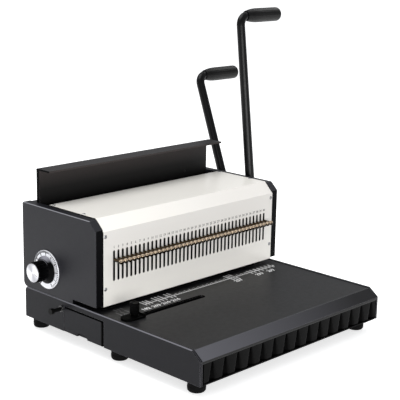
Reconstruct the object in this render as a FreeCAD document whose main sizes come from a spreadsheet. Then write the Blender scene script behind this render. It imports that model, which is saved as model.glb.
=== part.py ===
import FreeCAD, Part
import Sketcher
import math
import os
import re

# Desk punching and wire binding machine with two levers.
# X runs across the machine, Y from front to back and Z up. The machine's own datum is its centre plane,
# the outer front face of the punching cover, and the surface that it stands on. Every piece is placed from
# that datum and moved so that the origin lies under the middle of the whole machine.

doc = FreeCAD.newDocument("binding_machine")
sheet = doc.addObject("Spreadsheet::Sheet", "Sizes")

# Driving sizes, in millimetres and degrees
SIZES = [
    # Row of holes along the paper's edge
    ("hole_pitch", 25.4 / 3), ("hole_count", 40.0), ("punch_row", 16.0), ("punch_wide", 4.0),
    # Base box
    ("base_step", 0.5), ("base_ahead", 212.7), ("base_behind", 170.6), ("base_tall", 47.2),
    ("base_side", 4.5), ("rim_proud", 1.0), ("rim_round", 1.2), ("rim_soft", 2.4), ("rear_round", 6.0),
    ("bevel_run", 16.3), ("bevel_drop", 12.3), ("bevel_lip", 3.8), ("bevel_taper", 1.0),
    ("table_thick", 3.0), ("pan_thick", 2.0), ("pan_flange", 26.0),
    # Fluted front piece
    ("front_deep", 7.7), ("front_back", 2.2), ("front_side_gap", 2.5), ("front_lip", 2.6),
    ("flute_count", 15.0), ("flute_start", 17.0), ("flute_end", 10.6), ("flute_top", 2.4),
    ("flute_low", 7.0), ("tongue_foot", 5.4), ("tongue_round", 3.0), ("tongue_head", 3.2),
    # Feet
    ("foot_tall", 18.5), ("foot_half", 13.6), ("foot_soft", 2.6), ("foot_inset", 21.0),
    ("foot_front_inset", 26.7), ("foot_rear_inset", 14.0), ("foot_mid", 29.0),
    # Upper side plates
    ("plate_room", 20.9), ("plate_thick", 13.5), ("plate_ahead", 0.8), ("plate_over", 4.0),
    ("plate_rise", 136.0), ("plate_bevel_run", 13.5), ("plate_bevel_drop", 12.7), ("plate_soft", 1.0),
    ("plate_low_round", 9.0), ("plate_high_round", 3.0), ("throat_tall", 8.3), ("throat_deep", 54.0),
    # Covers, their strips and their screws
    ("cover_gap", 0.5), ("cover_wall", 2.0), ("cover_lift", 6.5), ("cover_rise", 120.0),
    ("cover_bevel", 17.3), ("cover_rear_gap", 2.0), ("slot_wide", 4.0), ("slot_lift", 42.35),
    ("slot_rise", 89.65), ("slot_tip", 1.6), ("strip_wide", 7.4), ("strip_thick", 6.0),
    ("strip_deep", 2.6), ("strip_gap", 4.0), ("rear_wall", 1.5), ("rear_inset", 0.9), ("rear_lap", 14.0),
    ("rear_rise", 134.3), ("screw_inset", 3.9), ("screw_rise", 112.5), ("screw_lift", 33.0),
    ("screw_half", 2.6), ("screw_tall", 1.2), ("top_screw_inset", 6.0), ("top_screw_front", 48.0),
    # Die, guide, posts and springs
    ("fit_gap", 0.3), ("punch_gap", 0.3), ("die_room", 12.9), ("die_tall", 12.0), ("die_before", 9.0),
    ("die_after", 15.0), ("die_flange", 4.0), ("guide_lift", 5.5), ("guide_tall", 8.0),
    ("guide_before", 13.0), ("guide_after", 17.0), ("post_inset", 13.6), ("post_half", 3.5),
    ("post_rise", 110.3), ("spring_gap", 0.4), ("spring_wire", 1.0),
    # Ram, punches and pull pins
    ("ram_travel", 16.0), ("bar_end_gap", 8.6), ("bar_before", 11.0), ("bar_after", 11.0),
    ("bar_lift", 64.3), ("bar_tall", 22.0), ("channel_gap", 0.1), ("arm_inset", 66.0),
    ("arm_thick", 12.0), ("arm_behind", 18.0), ("arm_end_gap", 4.2), ("arm_deep", 8.0),
    ("arm_drop", 2.0), ("arm_heel", 4.0), ("arm_toe", 2.0), ("punch_lift", 7.3), ("notch_deep", 2.2),
    ("notch_tall", 3.7), ("pin_rise", 75.3), ("pin_half", 1.6), ("pin_out", 19.0), ("pin_head", 3.2),
    ("pin_head_long", 4.6), ("pin_play", 0.05),
    # Punching shaft, cams and lever
    ("punch_axis_y", 69.2), ("punch_rise", 66.5), ("punch_shaft_half", 7.0), ("punch_swing", 78.0),
    ("cam_start", 12.0), ("cam_hub", 11.0), ("cam_gap", 0.3), ("cam_inset", 1.0), ("running_gap", 0.05),
    ("bush_wall", 3.0), ("bush_proud", 1.5), ("blind_deep", 9.5), ("blind_gap", 0.2),
    ("shaft_proud", 1.0), ("front_lean", 6.69), ("front_rod_gap", 14.5), ("front_reach", 340.3),
    ("rod_half", 7.0), ("bend_half", 16.0), ("hub_half", 15.0), ("hub_long", 16.0), ("hub_sink", 3.0),
    ("grip_gap", 18.0), ("grip_long", 78.0), ("grip_half", 12.2), ("grip_nose", 9.4),
    ("grip_taper", 14.0), ("grip_round", 5.0), ("grip_wall", 5.0),
    # Closing bar, its guides and its anvil
    ("web_back", 26.0), ("web_thick", 7.0), ("web_gap", 0.4), ("web_notch", 7.0), ("web_lift", 84.3),
    ("flange_ahead", 25.3), ("flange_thick", 2.7), ("flange_round", 2.2), ("flange_rise", 189.2),
    ("flange_over", 3.5), ("jaw_deep", 4.8), ("jaw_long", 12.0), ("jaw_lift", 16.3), ("jaw_rise", 112.3),
    ("anvil_gap", 2.3), ("anvil_wide", 19.3), ("anvil_lift", 117.3), ("anvil_rise", 131.3),
    ("anvil_soft", 2.5),
    # Closing shaft, cranks and lever
    ("bush_clear", 0.4), ("close_rise", 46.5), ("close_shaft_half", 6.0), ("rear_lean", 20.56),
    ("rear_rod_gap", 35.5), ("rear_reach", 260.1), ("crank_throw", 31.0), ("crank_rise", 40.0),
    ("crank_inset", 47.0), ("crank_thick", 7.0), ("crank_pin", 4.0), ("crank_hub", 10.5),
    ("crank_eye", 7.5), ("link_gap", 1.0), ("link_thick", 5.0), ("link_play", 1.0),
    ("link_arm_lift", 94.3), ("link_arm_rise", 108.3), ("link_margin", 4.5),
    # Closing depth dial
    ("dial_ahead", 19.3), ("dial_below", 5.6), ("dial_half", 30.0), ("dial_thick", 2.0),
    ("knob_skirt", 19.0), ("knob_skirt_tall", 5.0), ("knob_half", 16.0), ("knob_tall", 24.2),
    ("knob_flute", 1.0), ("knob_flutes", 18.0), ("knob_bore", 4.2), ("cap_half", 14.4),
    ("cap_tall", 1.5), ("dial_shaft_half", 4.0), ("dial_gap", 0.4), ("stop_half", 7.5),
    ("stop_offset", 2.2), ("stop_thick", 6.0),
    # Margin screw and paper stop
    ("margin_drop", 12.5), ("margin_out", 22.0), ("margin_half", 3.0), ("margin_head", 4.8),
    ("margin_head_long", 5.0), ("margin_end", 2.0), ("nut_half", 5.2), ("nut_out", 2.6), ("nut_in", 6.0),
    ("nut_barrel", 4.3), ("cam_disc", 5.0), ("cam_offset", 1.5), ("cam_wide", 8.0), ("cam_in", 14.0),
    ("stop_behind", 7.0), ("stop_deep", 7.0), ("stop_tall", 4.6), ("stop_step", 1.0),
    ("stop_end_gap", 16.0), ("stop_play", 0.5), ("stop_leg", 4.0), ("stop_travel", 3.0),
    ("stop_lift", 0.3), ("leg_down", 6.0),
    # Chip drawer
    ("drawer_ahead", 14.0), ("drawer_behind", 73.4), ("drawer_drop", 9.9), ("drawer_face", 4.0),
    ("drawer_side_gap", 3.0), ("drawer_rear_gap", 1.0), ("drawer_top_gap", 2.7),
    ("drawer_foot_gap", 0.5), ("tray_inset", 2.6), ("tray_rear_inset", 5.0), ("tray_wall", 1.2),
    ("tray_end_gap", 23.5), ("tray_drop", 14.2), ("runner_thick", 1.2), ("runner_tall", 11.0),
    ("runner_foot", 8.0), ("runner_start", 1.0), ("finger_ahead", 20.0), ("finger_wide", 23.0),
    ("finger_tall", 5.0), ("finger_slope", 1.5),
    # Edge guide in the table's track
    ("track_ahead", 48.0), ("track_inset", 20.5), ("track_long", 145.5), ("track_gap", 0.1),
    ("clamp_stud", 2.6), ("clamp_half", 7.0), ("clamp_thick", 3.0), ("guide_inset", 7.0),
    ("guide_plate", 2.4), ("guide_right", 12.0), ("guide_left", 11.5), ("guide_half", 11.5),
    ("fence_thick", 2.0), ("fence_tall", 4.2), ("turn_half", 8.0), ("turn_tall", 19.0),
    ("neck_half", 6.6), ("neck_tall", 3.0),
]
for row, (alias, value) in enumerate(SIZES):
    sheet.set("A%d" % (row + 1), alias)
    sheet.set("B%d" % (row + 1), repr(value))
    sheet.setAlias("B%d" % (row + 1), alias)
doc.recompute()
NAMES = {alias for alias, value in SIZES}

# Places that follow from the sizes above, each written once
PLACES = {
    # Heights of the base
    "table_z": "foot_tall + base_tall",
    "rim_z": "table_z + rim_proud",
    "pan_z": "foot_tall + pan_thick",
    "track_z": "table_z - table_thick",
    "bevel_z": "table_z - bevel_drop - bevel_lip",
    # Widths, from the row of holes outwards
    "row_half": "hole_pitch * (hole_count - 1) / 2",
    "plate_in": "row_half + plate_room",
    "plate_half": "plate_in + plate_thick",
    "base_half": "plate_half + base_step",
    "base_in": "base_half - base_side",
    "front_half": "base_in - front_side_gap",
    "flute_first": "front_half - flute_start",
    "flute_last": "front_half - flute_end",
    "flute_pitch": "(flute_first + flute_last) / (flute_count - 1)",
    # Feet
    "foot_side": "base_half - foot_inset",
    "foot_front": "base_ahead - foot_front_inset",
    "foot_rear": "base_behind - foot_rear_inset",
    # Side plates and covers
    "plate_behind": "base_behind + plate_over",
    "plate_top": "table_z + plate_rise",
    "throat_top": "table_z + throat_tall",
    "cover_half": "plate_in - cover_gap",
    "cover_low": "table_z + cover_lift",
    "cover_fold": "table_z + cover_rise",
    "cover_z": "cover_fold + cover_bevel",
    "cover_rear": "anvil_front - cover_rear_gap",
    "slot_low": "table_z + slot_lift",
    "slot_high": "table_z + slot_rise",
    "strip_x": "plate_in - strip_wide",
    "rear_face": "plate_behind - rear_inset",
    "rear_top": "table_z + rear_rise",
    "screw_side": "cover_half - screw_inset",
    "screw_high": "table_z + screw_rise",
    "screw_low": "table_z + screw_lift",
    "top_screw_rear": "cover_rear - top_screw_inset",
    # Punching tool
    "punch_half": "punch_wide / 2",
    "hole_half": "punch_wide / 2 + punch_gap",
    "die_half": "row_half + die_room",
    "die_front": "punch_row - die_before",
    "die_rear": "punch_row + die_after",
    "guide_low": "table_z + guide_lift",
    "guide_top": "guide_low + guide_tall",
    "post_side": "plate_in - post_inset",
    "post_top": "table_z + post_rise",
    "spring_bore": "post_half + spring_gap",
    "bar_half": "plate_in - bar_end_gap",
    "bar_front": "punch_row - bar_before",
    "bar_rear": "punch_row + bar_after",
    "bar_low": "table_z + bar_lift",
    "bar_top": "bar_low + bar_tall",
    "punch_tip": "table_z + punch_lift",
    "pin_high": "table_z + pin_rise",
    "pin_head_back": "pin_out - pin_head_long",
    "arm_start": "plate_in - arm_inset - arm_thick / 2",
    "arm_back": "punch_row + arm_behind",
    "arm_reach": "punch_axis_y - arm_end_gap",
    "follow_z": "punch_axis_z - cam_start - cam_gap",
    # Shafts and levers
    "punch_axis_z": "table_z + punch_rise",
    "close_axis_y": "web_face - fit_gap - jaw_deep - bush_clear - bush_wall - close_shaft_half",
    "close_axis_z": "table_z + close_rise",
    "front_rod_x": "plate_half + front_rod_gap",
    "rear_rod_x": "plate_half + rear_rod_gap",
    "grip_end": "grip_gap + grip_long",
    # Closing bar
    "web_face": "plate_behind - web_back",
    "web_low": "table_z + web_lift",
    "flange_top": "table_z + flange_rise",
    "jaw_low": "table_z + jaw_lift",
    "jaw_top": "table_z + jaw_rise",
    "anvil_rear": "web_face - anvil_gap",
    "anvil_front": "anvil_rear - anvil_wide",
    "anvil_low": "table_z + anvil_lift",
    "anvil_top": "table_z + anvil_rise",
    "crank_side": "plate_in - crank_inset",
    "eye_y": "-crank_throw * cos(crank_rise)",
    "eye_z": "crank_throw * sin(crank_rise)",
    "crank_z": "close_axis_z + eye_z",
    "link_x": "crank_side + crank_thick + link_gap",
    "link_arm_low": "table_z + link_arm_lift",
    "link_arm_top": "table_z + link_arm_rise",
    "link_slot": "crank_pin + link_play",
    "link_front": "close_axis_y - crank_throw",
    "link_rear": "close_axis_y + eye_y",
    # Dial
    "dial_y": "close_axis_y - dial_ahead",
    "dial_z": "close_axis_z - dial_below",
    "knob_x": "plate_half + dial_thick + dial_gap",
    # Margin screw and paper stop
    "margin_y": "drawer_behind + drawer_rear_gap + nut_half",
    "margin_z": "table_z - margin_drop",
    "cam_x": "base_in - cam_in",
    "leg_y": "margin_y - cam_offset + cam_disc + stop_play",
    "stop_front": "punch_row + stop_behind",
    "stop_bar_half": "plate_in - stop_end_gap",
    "stop_z": "table_z + stop_lift",
    # Drawer
    "drawer_in": "base_half - drawer_face",
    "drawer_top": "table_z - drawer_drop",
    "drawer_low": "foot_tall + drawer_foot_gap",
    "tray_z": "pan_z + runner_thick + fit_gap",
    "tray_top": "table_z - tray_drop",
    "tray_front": "tray_inset - drawer_ahead",
    "tray_rear": "drawer_behind - tray_rear_inset",
    "tray_end": "base_in - tray_end_gap",
    # Edge guide
    "track_left": "base_in - track_inset",
    "track_right": "track_left - track_long",
    "track_half": "clamp_stud + track_gap",
    "guide_x": "track_left - guide_inset",
    # Middle of the whole machine
    "far_right": "rear_rod_x + grip_end",
    "far_left": "knob_x + knob_tall + cap_tall",
    "far_back": "close_axis_y + rear_reach * sin(rear_lean) + grip_half",
    "shift_x": "(far_left - far_right) / 2",
    "shift_y": "(base_ahead - far_back) / 2",
}


def full(text):
    """An expression in which every place is written out and every size names its cell."""
    def one(found):
        word = found.group(0)
        if word in PLACES:
            return "(" + full(PLACES[word]) + ")"
        return "Sizes." + word if word in NAMES else word
    return re.sub(r"[a-z][a-z_0-9]*", one, str(text))


def num(text):
    """The value of an expression."""
    return float(sheet.evalExpression(full(text)))


def bind(thing, path, text):
    """Tie a property to the sheet."""
    thing.setExpression(path, full(text))


def body(name, x="0", y="0", z="0", lean=None):
    """A sub-part, placed from the machine's datum and leaning back from upright where it is a lever."""
    made = doc.addObject("PartDesign::Body", name)
    made.Label = name
    made.AllowCompound = True
    if lean:
        turn = FreeCAD.Rotation(FreeCAD.Vector(-1, 0, 0), num(lean))
        made.Placement = FreeCAD.Placement(FreeCAD.Vector(), turn)
        bind(made, "Placement.Rotation.Angle", lean)
    bind(made, "Placement.Base.x", "shift_x + " + x)
    bind(made, "Placement.Base.y", "shift_y + " + y)
    bind(made, "Placement.Base.z", z)
    return made


def origin(made, role):
    """One of a body's own planes or axes."""
    return [f for f in made.Origin.OriginFeatures if f.Role == role][0]


def sketch(made, plane, start="0"):
    """A sketch on one of the body's planes, moved along that plane's axis to start."""
    sk = made.newObject("Sketcher::SketchObject", "outline")
    sk.AttachmentSupport = [(origin(made, plane + "_Plane"), "")]
    sk.MapMode = "FlatFace"
    if start != "0":
        bind(sk, "AttachmentOffset.Base.z", ("-(%s)" if plane == "XZ" else "%s") % start)
    return sk


def pin_point(sk, item, place, u, v):
    """Hold one point of a sketch at expressions u and v."""
    for kind, text in (("DistanceX", u), ("DistanceY", v)):
        at = sk.addConstraint(Sketcher.Constraint(kind, -1, 1, item, place, num(text)))
        bind(sk, "Constraints[%d]" % at, text)


def hold_radius(sk, item, radius):
    """Tie the radius of a circle or an arc to an expression."""
    at = sk.addConstraint(Sketcher.Constraint("Radius", item, num(radius)))
    bind(sk, "Constraints[%d]" % at, radius)


def close_loop(sk, first, count):
    """Join a run of lines end to end."""
    sk.addConstraint([Sketcher.Constraint("Coincident", first + i, 2, first + (i + 1) % count, 1)
                      for i in range(count)])


def poly(*points):
    """A closed outline with straight sides."""
    def draw(sk):
        first, count = sk.GeometryCount, len(points)
        at = [FreeCAD.Vector(num(u), num(v), 0) for u, v in points]
        sk.addGeometry([Part.LineSegment(at[i], at[(i + 1) % count]) for i in range(count)])
        close_loop(sk, first, count)
        for i, (u, v) in enumerate(points):
            pin_point(sk, first + i, 1, u, v)
    return draw


def box(u0, v0, u1, v1):
    """A rectangular outline."""
    return poly((u0, v0), (u1, v0), (u1, v1), (u0, v1))


def ring(u, v, radius):
    """A circle."""
    def draw(sk):
        middle = FreeCAD.Vector(num(u), num(v), 0)
        item = sk.addGeometry(Part.Circle(middle, FreeCAD.Vector(0, 0, 1), num(radius)))
        pin_point(sk, item, 3, u, v)
        hold_radius(sk, item, radius)
    return draw


def regular(u, v, radius, sides):
    """A regular outline with flat sides, inside a circle of the given radius."""
    def draw(sk):
        middle, r, up = FreeCAD.Vector(num(u), num(v), 0), num(radius), FreeCAD.Vector(0, 0, 1)
        turns = [math.pi * (2 * i + 1) / sides for i in range(sides)]
        at = [middle + FreeCAD.Vector(math.cos(a), math.sin(a), 0) * r for a in turns]
        first = sk.GeometryCount
        sk.addGeometry([Part.LineSegment(at[i], at[(i + 1) % sides]) for i in range(sides)])
        rim = sk.addGeometry(Part.Circle(middle, up, r), True)
        close_loop(sk, first, sides)
        sk.addConstraint([Sketcher.Constraint("PointOnObject", first + i, 1, rim) for i in range(sides)])
        sk.addConstraint([Sketcher.Constraint("Equal", first, first + i) for i in range(1, sides)])
        sk.addConstraint(Sketcher.Constraint("Vertical", first + sides - 1))
        pin_point(sk, rim, 3, u, v)
        hold_radius(sk, rim, radius)
    return draw


def pointed(u, v0, v1, half, tip):
    """An upright slot with pointed ends."""
    left, right = "%s - %s" % (u, half), "%s + %s" % (u, half)
    low, high = "%s + %s" % (v0, tip), "%s - %s" % (v1, tip)
    return poly((left, low), (u, v0), (right, low), (right, high), (u, v1), (left, high))


def oblong(u0, v0, u1, v1, radius):
    """A slot with round ends, from one end's centre to the other's, along one of the sketch's axes."""
    def draw(sk):
        a, b, r = FreeCAD.Vector(num(u0), num(v0), 0), FreeCAD.Vector(num(u1), num(v1), 0), num(radius)
        along = (b - a).normalize()
        side = FreeCAD.Vector(-along.y, along.x, 0) * r
        turn = math.atan2(along.y, along.x)
        up = FreeCAD.Vector(0, 0, 1)
        first = sk.GeometryCount
        sk.addGeometry([
            Part.LineSegment(a - side, b - side),
            Part.ArcOfCircle(Part.Circle(b, up, r), turn - math.pi / 2, turn + math.pi / 2),
            Part.LineSegment(b + side, a + side),
            Part.ArcOfCircle(Part.Circle(a, up, r), turn + math.pi / 2, turn + math.pi * 3 / 2)])
        for one, end, two in ((0, 2, 1), (1, 2, 2), (2, 2, 3), (3, 2, 0)):
            sk.addConstraint(Sketcher.Constraint("Coincident", first + one, end, first + two, 1))
        square = "Vertical" if abs(along.x) > abs(along.y) else "Horizontal"
        for item, u, v in ((1, u1, v1), (3, u0, v0)):
            pin_point(sk, first + item, 3, u, v)
            hold_radius(sk, first + item, radius)
            for end in (1, 2):
                sk.addConstraint(Sketcher.Constraint(square, first + item, end, first + item, 3))
    return draw


def extrude(made, plane, start, length, shapes, cut=False):
    """Add or cut outlines, always from start towards the plus side of the plane's axis."""
    sk = sketch(made, plane, start)
    for draw in shapes:
        draw(sk)
    feature = made.newObject("PartDesign::Pocket" if cut else "PartDesign::Pad", "cut" if cut else "pad")
    feature.Profile = sk
    feature.Reversed = (plane == "XZ") != cut
    bind(feature, "Length", length)
    return feature


def repeat(made, features, step, count, axis="X_Axis"):
    """Repeat features in a straight row."""
    row = made.newObject("PartDesign::LinearPattern", "row")
    for feature in features + [row]:
        feature.Refine = False
    row.Originals = features
    row.Direction = (origin(made, axis), [""])
    bind(row, "Length", "(%s) * (%s - 1)" % (step, count))
    bind(row, "Occurrences", count)
    made.Tip = row
    return row


def around(made, features, count, axis):
    """Repeat features round an axis of the body."""
    circle = made.newObject("PartDesign::PolarPattern", "round")
    circle.Originals = features
    circle.Axis = (origin(made, axis), [""])
    circle.Angle = 360
    bind(circle, "Occurrences", count)
    made.Tip = circle
    return circle


def mirror(made, features, plane="YZ"):
    """Repeat features on the other side of one of the body's planes."""
    other = made.newObject("PartDesign::Mirrored", "other_side")
    other.Originals = features
    other.MirrorPlane = (origin(made, plane + "_Plane"), [""])
    made.Tip = other
    return other


def soften(made, radius, wanted, kind="Fillet"):
    """Round or chamfer the edges of the body's last feature that wanted() picks by their box."""
    doc.recompute()
    base = made.Tip
    names = ["Edge%d" % (i + 1) for i, edge in enumerate(base.Shape.Edges) if wanted(edge.BoundBox)]
    feature = made.newObject("PartDesign::" + kind, "soft")
    feature.Base = (base, names)
    bind(feature, "Size" if kind == "Chamfer" else "Radius", radius)
    return feature


def near(value, text):
    """Whether a measured value is the one that an expression gives."""
    return abs(value - num(text)) < 1e-4


def at_point(bounds, plane, u, v):
    """Whether an edge runs straight along the plane's axis through point u, v of that plane."""
    low, high = {"YZ": (("YMin", "ZMin"), ("YMax", "ZMax")), "XZ": (("XMin", "ZMin"), ("XMax", "ZMax")),
                 "XY": (("XMin", "YMin"), ("XMax", "YMax"))}[plane]
    return (near(getattr(bounds, low[0]), u) and near(getattr(bounds, high[0]), u)
            and near(getattr(bounds, low[1]), v) and near(getattr(bounds, high[1]), v))


def on_face(bounds, x):
    """Whether an edge lies in an upright plane across the machine."""
    return near(bounds.XMin, x) and near(bounds.XMax, x)


# Base box: two side plates, a folded pan, a table with a bevelled front and a fluted front piece
def base_side_outline(cut_out):
    """The side of the base, with the drawer's opening in its lower edge on the left."""
    low = [("-base_ahead", "foot_tall")]
    if cut_out:
        low += [("-drawer_ahead - drawer_side_gap", "foot_tall"),
                ("-drawer_ahead - drawer_side_gap", "drawer_top + drawer_top_gap"),
                ("drawer_behind + drawer_rear_gap", "drawer_top + drawer_top_gap"),
                ("drawer_behind + drawer_rear_gap", "foot_tall")]
    return low + [("base_behind", "foot_tall"), ("base_behind", "rim_z"),
                  ("bevel_run - base_ahead", "rim_z"), ("-base_ahead", "rim_z - bevel_drop")]


def base_side(name, start, cut_out):
    """One side of the base box, which stands a little proud of the table along its upper edge."""
    made = body(name)
    shapes = [poly(*base_side_outline(cut_out))]
    if cut_out:
        shapes.append(ring("margin_y", "margin_z", "nut_barrel"))
    extrude(made, "YZ", start, "base_side", shapes)
    soften(made, "rear_round", lambda b: at_point(b, "YZ", "base_behind", "rim_z"))
    soften(made, "rim_soft", lambda b: at_point(b, "YZ", "bevel_run - base_ahead", "rim_z")
           or at_point(b, "YZ", "-base_ahead", "rim_z - bevel_drop"))
    outer = "-base_half" if cut_out else "base_half"
    soften(made, "rim_round", lambda b: on_face(b, outer) and near(b.ZMin, "rim_z"), "Chamfer")


def base_pan():
    """The bottom sheet, turned up at the back and at the front."""
    made = body("base_pan")
    extrude(made, "YZ", "-base_in", "2 * base_in", [poly(
        ("front_deep - base_ahead", "foot_tall"), ("base_behind", "foot_tall"), ("base_behind", "track_z"),
        ("base_behind - pan_thick", "track_z"), ("base_behind - pan_thick", "pan_z"),
        ("front_deep + pan_thick - base_ahead", "pan_z"),
        ("front_deep + pan_thick - base_ahead", "pan_z + pan_flange"),
        ("front_deep - base_ahead", "pan_z + pan_flange"))])


def base_table():
    """The table sheet with its bevelled front edge, open for the die, the track and the stop's leg."""
    made = body("base_table")
    extrude(made, "YZ", "-base_in", "2 * base_in", [poly(
        ("base_behind", "table_z"), ("bevel_run - base_ahead", "table_z"),
        ("-base_ahead", "table_z - bevel_drop"), ("-base_ahead", "bevel_z"),
        ("bevel_run + bevel_taper - base_ahead", "track_z"), ("base_behind", "track_z"))])
    extrude(made, "XY", "track_z", "table_thick", [
        box("-die_half - fit_gap", "die_front - fit_gap", "die_half + fit_gap", "die_rear + fit_gap"),
        oblong("-track_left", "-track_ahead", "-track_right", "-track_ahead", "track_half"),
        box("-cam_x - fit_gap", "leg_y - stop_play", "cam_wide + fit_gap - cam_x",
            "leg_y + stop_leg + stop_travel + fit_gap")], cut=True)


def base_front():
    """The front piece: a sheet with a lip, a head rail and tongues with tapering flutes between them."""
    made = body("base_front")
    foot = "foot_tall + front_lip + tongue_foot"
    depth = "front_deep - front_back"
    extrude(made, "XZ", depth + " - base_ahead", "front_back", [
        box("-front_half", "foot_tall", "front_half", "bevel_z")])
    for low, high in (("foot_tall", "foot_tall + front_lip"), ("bevel_z - tongue_head", "bevel_z")):
        extrude(made, "XZ", "-base_ahead", depth, [box("-front_half", low, "front_half", high)])
    tongue = extrude(made, "XZ", "-base_ahead", depth, [poly(
        ("-flute_first + flute_top / 2", "bevel_z"),
        ("flute_pitch - flute_first - flute_top / 2", "bevel_z"),
        ("flute_pitch - flute_first - flute_low / 2", foot + " + tongue_round"),
        ("flute_pitch - flute_first - flute_low / 2 - tongue_round", foot),
        ("-flute_first + flute_low / 2 + tongue_round", foot),
        ("-flute_first + flute_low / 2", foot + " + tongue_round"))])
    repeat(made, [tongue], "flute_pitch", "flute_count - 1")
    extrude(made, "XZ", "-base_ahead", depth, [
        poly(("-front_half", foot), ("-front_half", "bevel_z"), ("-flute_first - flute_top / 2", "bevel_z"),
             ("-flute_first - flute_low / 2", foot + " + tongue_round"),
             ("-flute_first - flute_low / 2 - tongue_round", foot)),
        poly(("flute_last + flute_top / 2", "bevel_z"), ("front_half", "bevel_z"), ("front_half", foot),
             ("flute_last + flute_low / 2 + tongue_round", foot),
             ("flute_last + flute_low / 2", foot + " + tongue_round"))])


def rubber_feet():
    """Six round feet with softened lower edges, in three pairs."""
    made = body("rubber_feet")
    extrude(made, "XY", "0", "foot_tall", [
        regular(x, y, "foot_half", 16) for x in ("-foot_side", "foot_side")
        for y in ("-foot_front", "-foot_mid", "foot_rear")])
    soften(made, "foot_soft", lambda b: near(b.ZMax, "0"), "Chamfer")


base_side("base_side_left", "-base_half", True)
base_side("base_side_right", "base_in", False)
base_pan()
base_table()
base_front()
rubber_feet()


# Upper unit: side plates, covers and the strips that the covers are screwed to
def side_plate(name, start, right):
    """A side plate: open over the table at the front, bored for the shafts, the left one for the dial."""
    made = body(name)
    extrude(made, "YZ", start, "plate_thick", [poly(
        ("plate_ahead", "throat_top"), ("plate_ahead", "plate_top - plate_bevel_drop"),
        ("plate_ahead + plate_bevel_run", "plate_top"), ("plate_behind", "plate_top"),
        ("plate_behind", "rim_z"), ("throat_deep", "rim_z"), ("throat_deep", "throat_top"))])
    bores = [ring("punch_axis_y", "punch_axis_z", "punch_shaft_half + bush_wall"),
             ring("close_axis_y", "close_axis_z", "close_shaft_half + bush_wall")]
    if right:
        extrude(made, "YZ", start, "plate_thick", bores, cut=True)
    else:
        extrude(made, "YZ", "-plate_in - blind_deep", "blind_deep", bores, cut=True)
        extrude(made, "YZ", start, "plate_thick", [
            ring("dial_y", "dial_z", "dial_shaft_half + running_gap")], cut=True)
    soften(made, "plate_low_round", lambda b: at_point(b, "YZ", "plate_behind", "rim_z"))
    soften(made, "plate_high_round", lambda b: at_point(b, "YZ", "plate_behind", "plate_top"))
    outer = "plate_half" if right else "-plate_half"
    soften(made, "plate_soft", lambda b: on_face(b, outer) and not near(b.ZMax, "throat_top")
           and (near(b.ZMin, "plate_top") or near(b.YMin, "plate_ahead")), "Chamfer")


def front_cover():
    """The punching cover: one folded sheet with a slot in front of each punch for its pin."""
    made = body("front_cover")
    fold = "cover_wall * tan(22.5)"
    extrude(made, "YZ", "-cover_half", "2 * cover_half", [poly(
        ("0", "cover_low"), ("0", "cover_fold"), ("cover_bevel", "cover_z"), ("cover_rear", "cover_z"),
        ("cover_rear", "cover_z - cover_wall"), ("cover_bevel + " + fold, "cover_z - cover_wall"),
        ("cover_wall", "cover_fold - " + fold), ("cover_wall", "cover_low"))])
    slot = extrude(made, "XZ", "0", "cover_wall", [
        pointed("-row_half", "slot_low", "slot_high", "slot_wide / 2", "slot_tip")], cut=True)
    repeat(made, [slot], "hole_pitch", "hole_count")


def cover_strips():
    """Strips inside the cover's ends that its screws go into."""
    made = body("cover_strips")
    under = "cover_z - cover_wall"
    for start in ("-plate_in", "strip_x"):
        extrude(made, "YZ", start, "strip_wide", [box(
            "cover_wall", "guide_top", "cover_wall + strip_deep", "cover_fold - strip_thick")])
        extrude(made, "YZ", start, "strip_wide", [box(
            "cover_bevel + strip_gap", under + " - strip_thick", "cover_rear", under)])


def cover_screws():
    """Screw heads on the cover, two in front and two on top at each end."""
    made = body("cover_screws")
    for x in ("-screw_side", "screw_side"):
        for z in ("screw_high", "screw_low"):
            extrude(made, "XZ", "-screw_tall", "screw_tall", [regular(x, z, "screw_half", 8)])
        for y in ("top_screw_rear", "top_screw_front"):
            extrude(made, "XY", "cover_z", "screw_tall", [regular(x, y, "screw_half", 8)])


def rear_cover():
    """The back sheet, folded forward at the top."""
    made = body("rear_cover")
    extrude(made, "YZ", "-cover_half", "2 * cover_half", [poly(
        ("rear_face", "rim_z"), ("rear_face", "rear_top"), ("rear_face - rear_lap", "rear_top"),
        ("rear_face - rear_lap", "rear_top - rear_wall"), ("rear_face - rear_wall", "rear_top - rear_wall"),
        ("rear_face - rear_wall", "rim_z"))])


side_plate("side_plate_left", "-plate_half", False)
side_plate("side_plate_right", "plate_in", True)
front_cover()
cover_strips()
cover_screws()
rear_cover()


# Punching tool: die below the paper throat, guide above it, and the ram with its punches
def punch_holes(made, start, length):
    """A row of square holes for the punches, with their working gap."""
    hole = extrude(made, "XY", start, length, [box(
        "-row_half - hole_half", "punch_row - hole_half",
        "-row_half + hole_half", "punch_row + hole_half")], cut=True)
    repeat(made, [hole], "hole_pitch", "hole_count")


def die_block():
    """The die: a bar whose raised middle comes up through the table."""
    made = body("die_block")
    extrude(made, "YZ", "-die_half", "2 * die_half", [poly(
        ("die_front", "table_z"), ("die_rear", "table_z"), ("die_rear", "track_z"),
        ("die_rear + die_flange", "track_z"), ("die_rear + die_flange", "table_z - die_tall"),
        ("die_front - die_flange", "table_z - die_tall"), ("die_front - die_flange", "track_z"),
        ("die_front", "track_z"))])
    punch_holes(made, "table_z - die_tall", "die_tall")


def punch_guide():
    """The guide bar between the side plates, which keeps every punch over its hole."""
    made = body("punch_guide")
    extrude(made, "YZ", "-plate_in", "2 * plate_in", [
        box("punch_row - guide_before", "guide_low", "punch_row + guide_after", "guide_top")])
    punch_holes(made, "guide_low", "guide_tall")


def guide_posts():
    """Round posts on the guide bar, which the ram slides on."""
    made = body("guide_posts")
    for x in ("-post_side", "post_side"):
        extrude(made, "XY", "guide_top", "post_top - guide_top", [ring(x, "punch_row", "post_half")])


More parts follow.
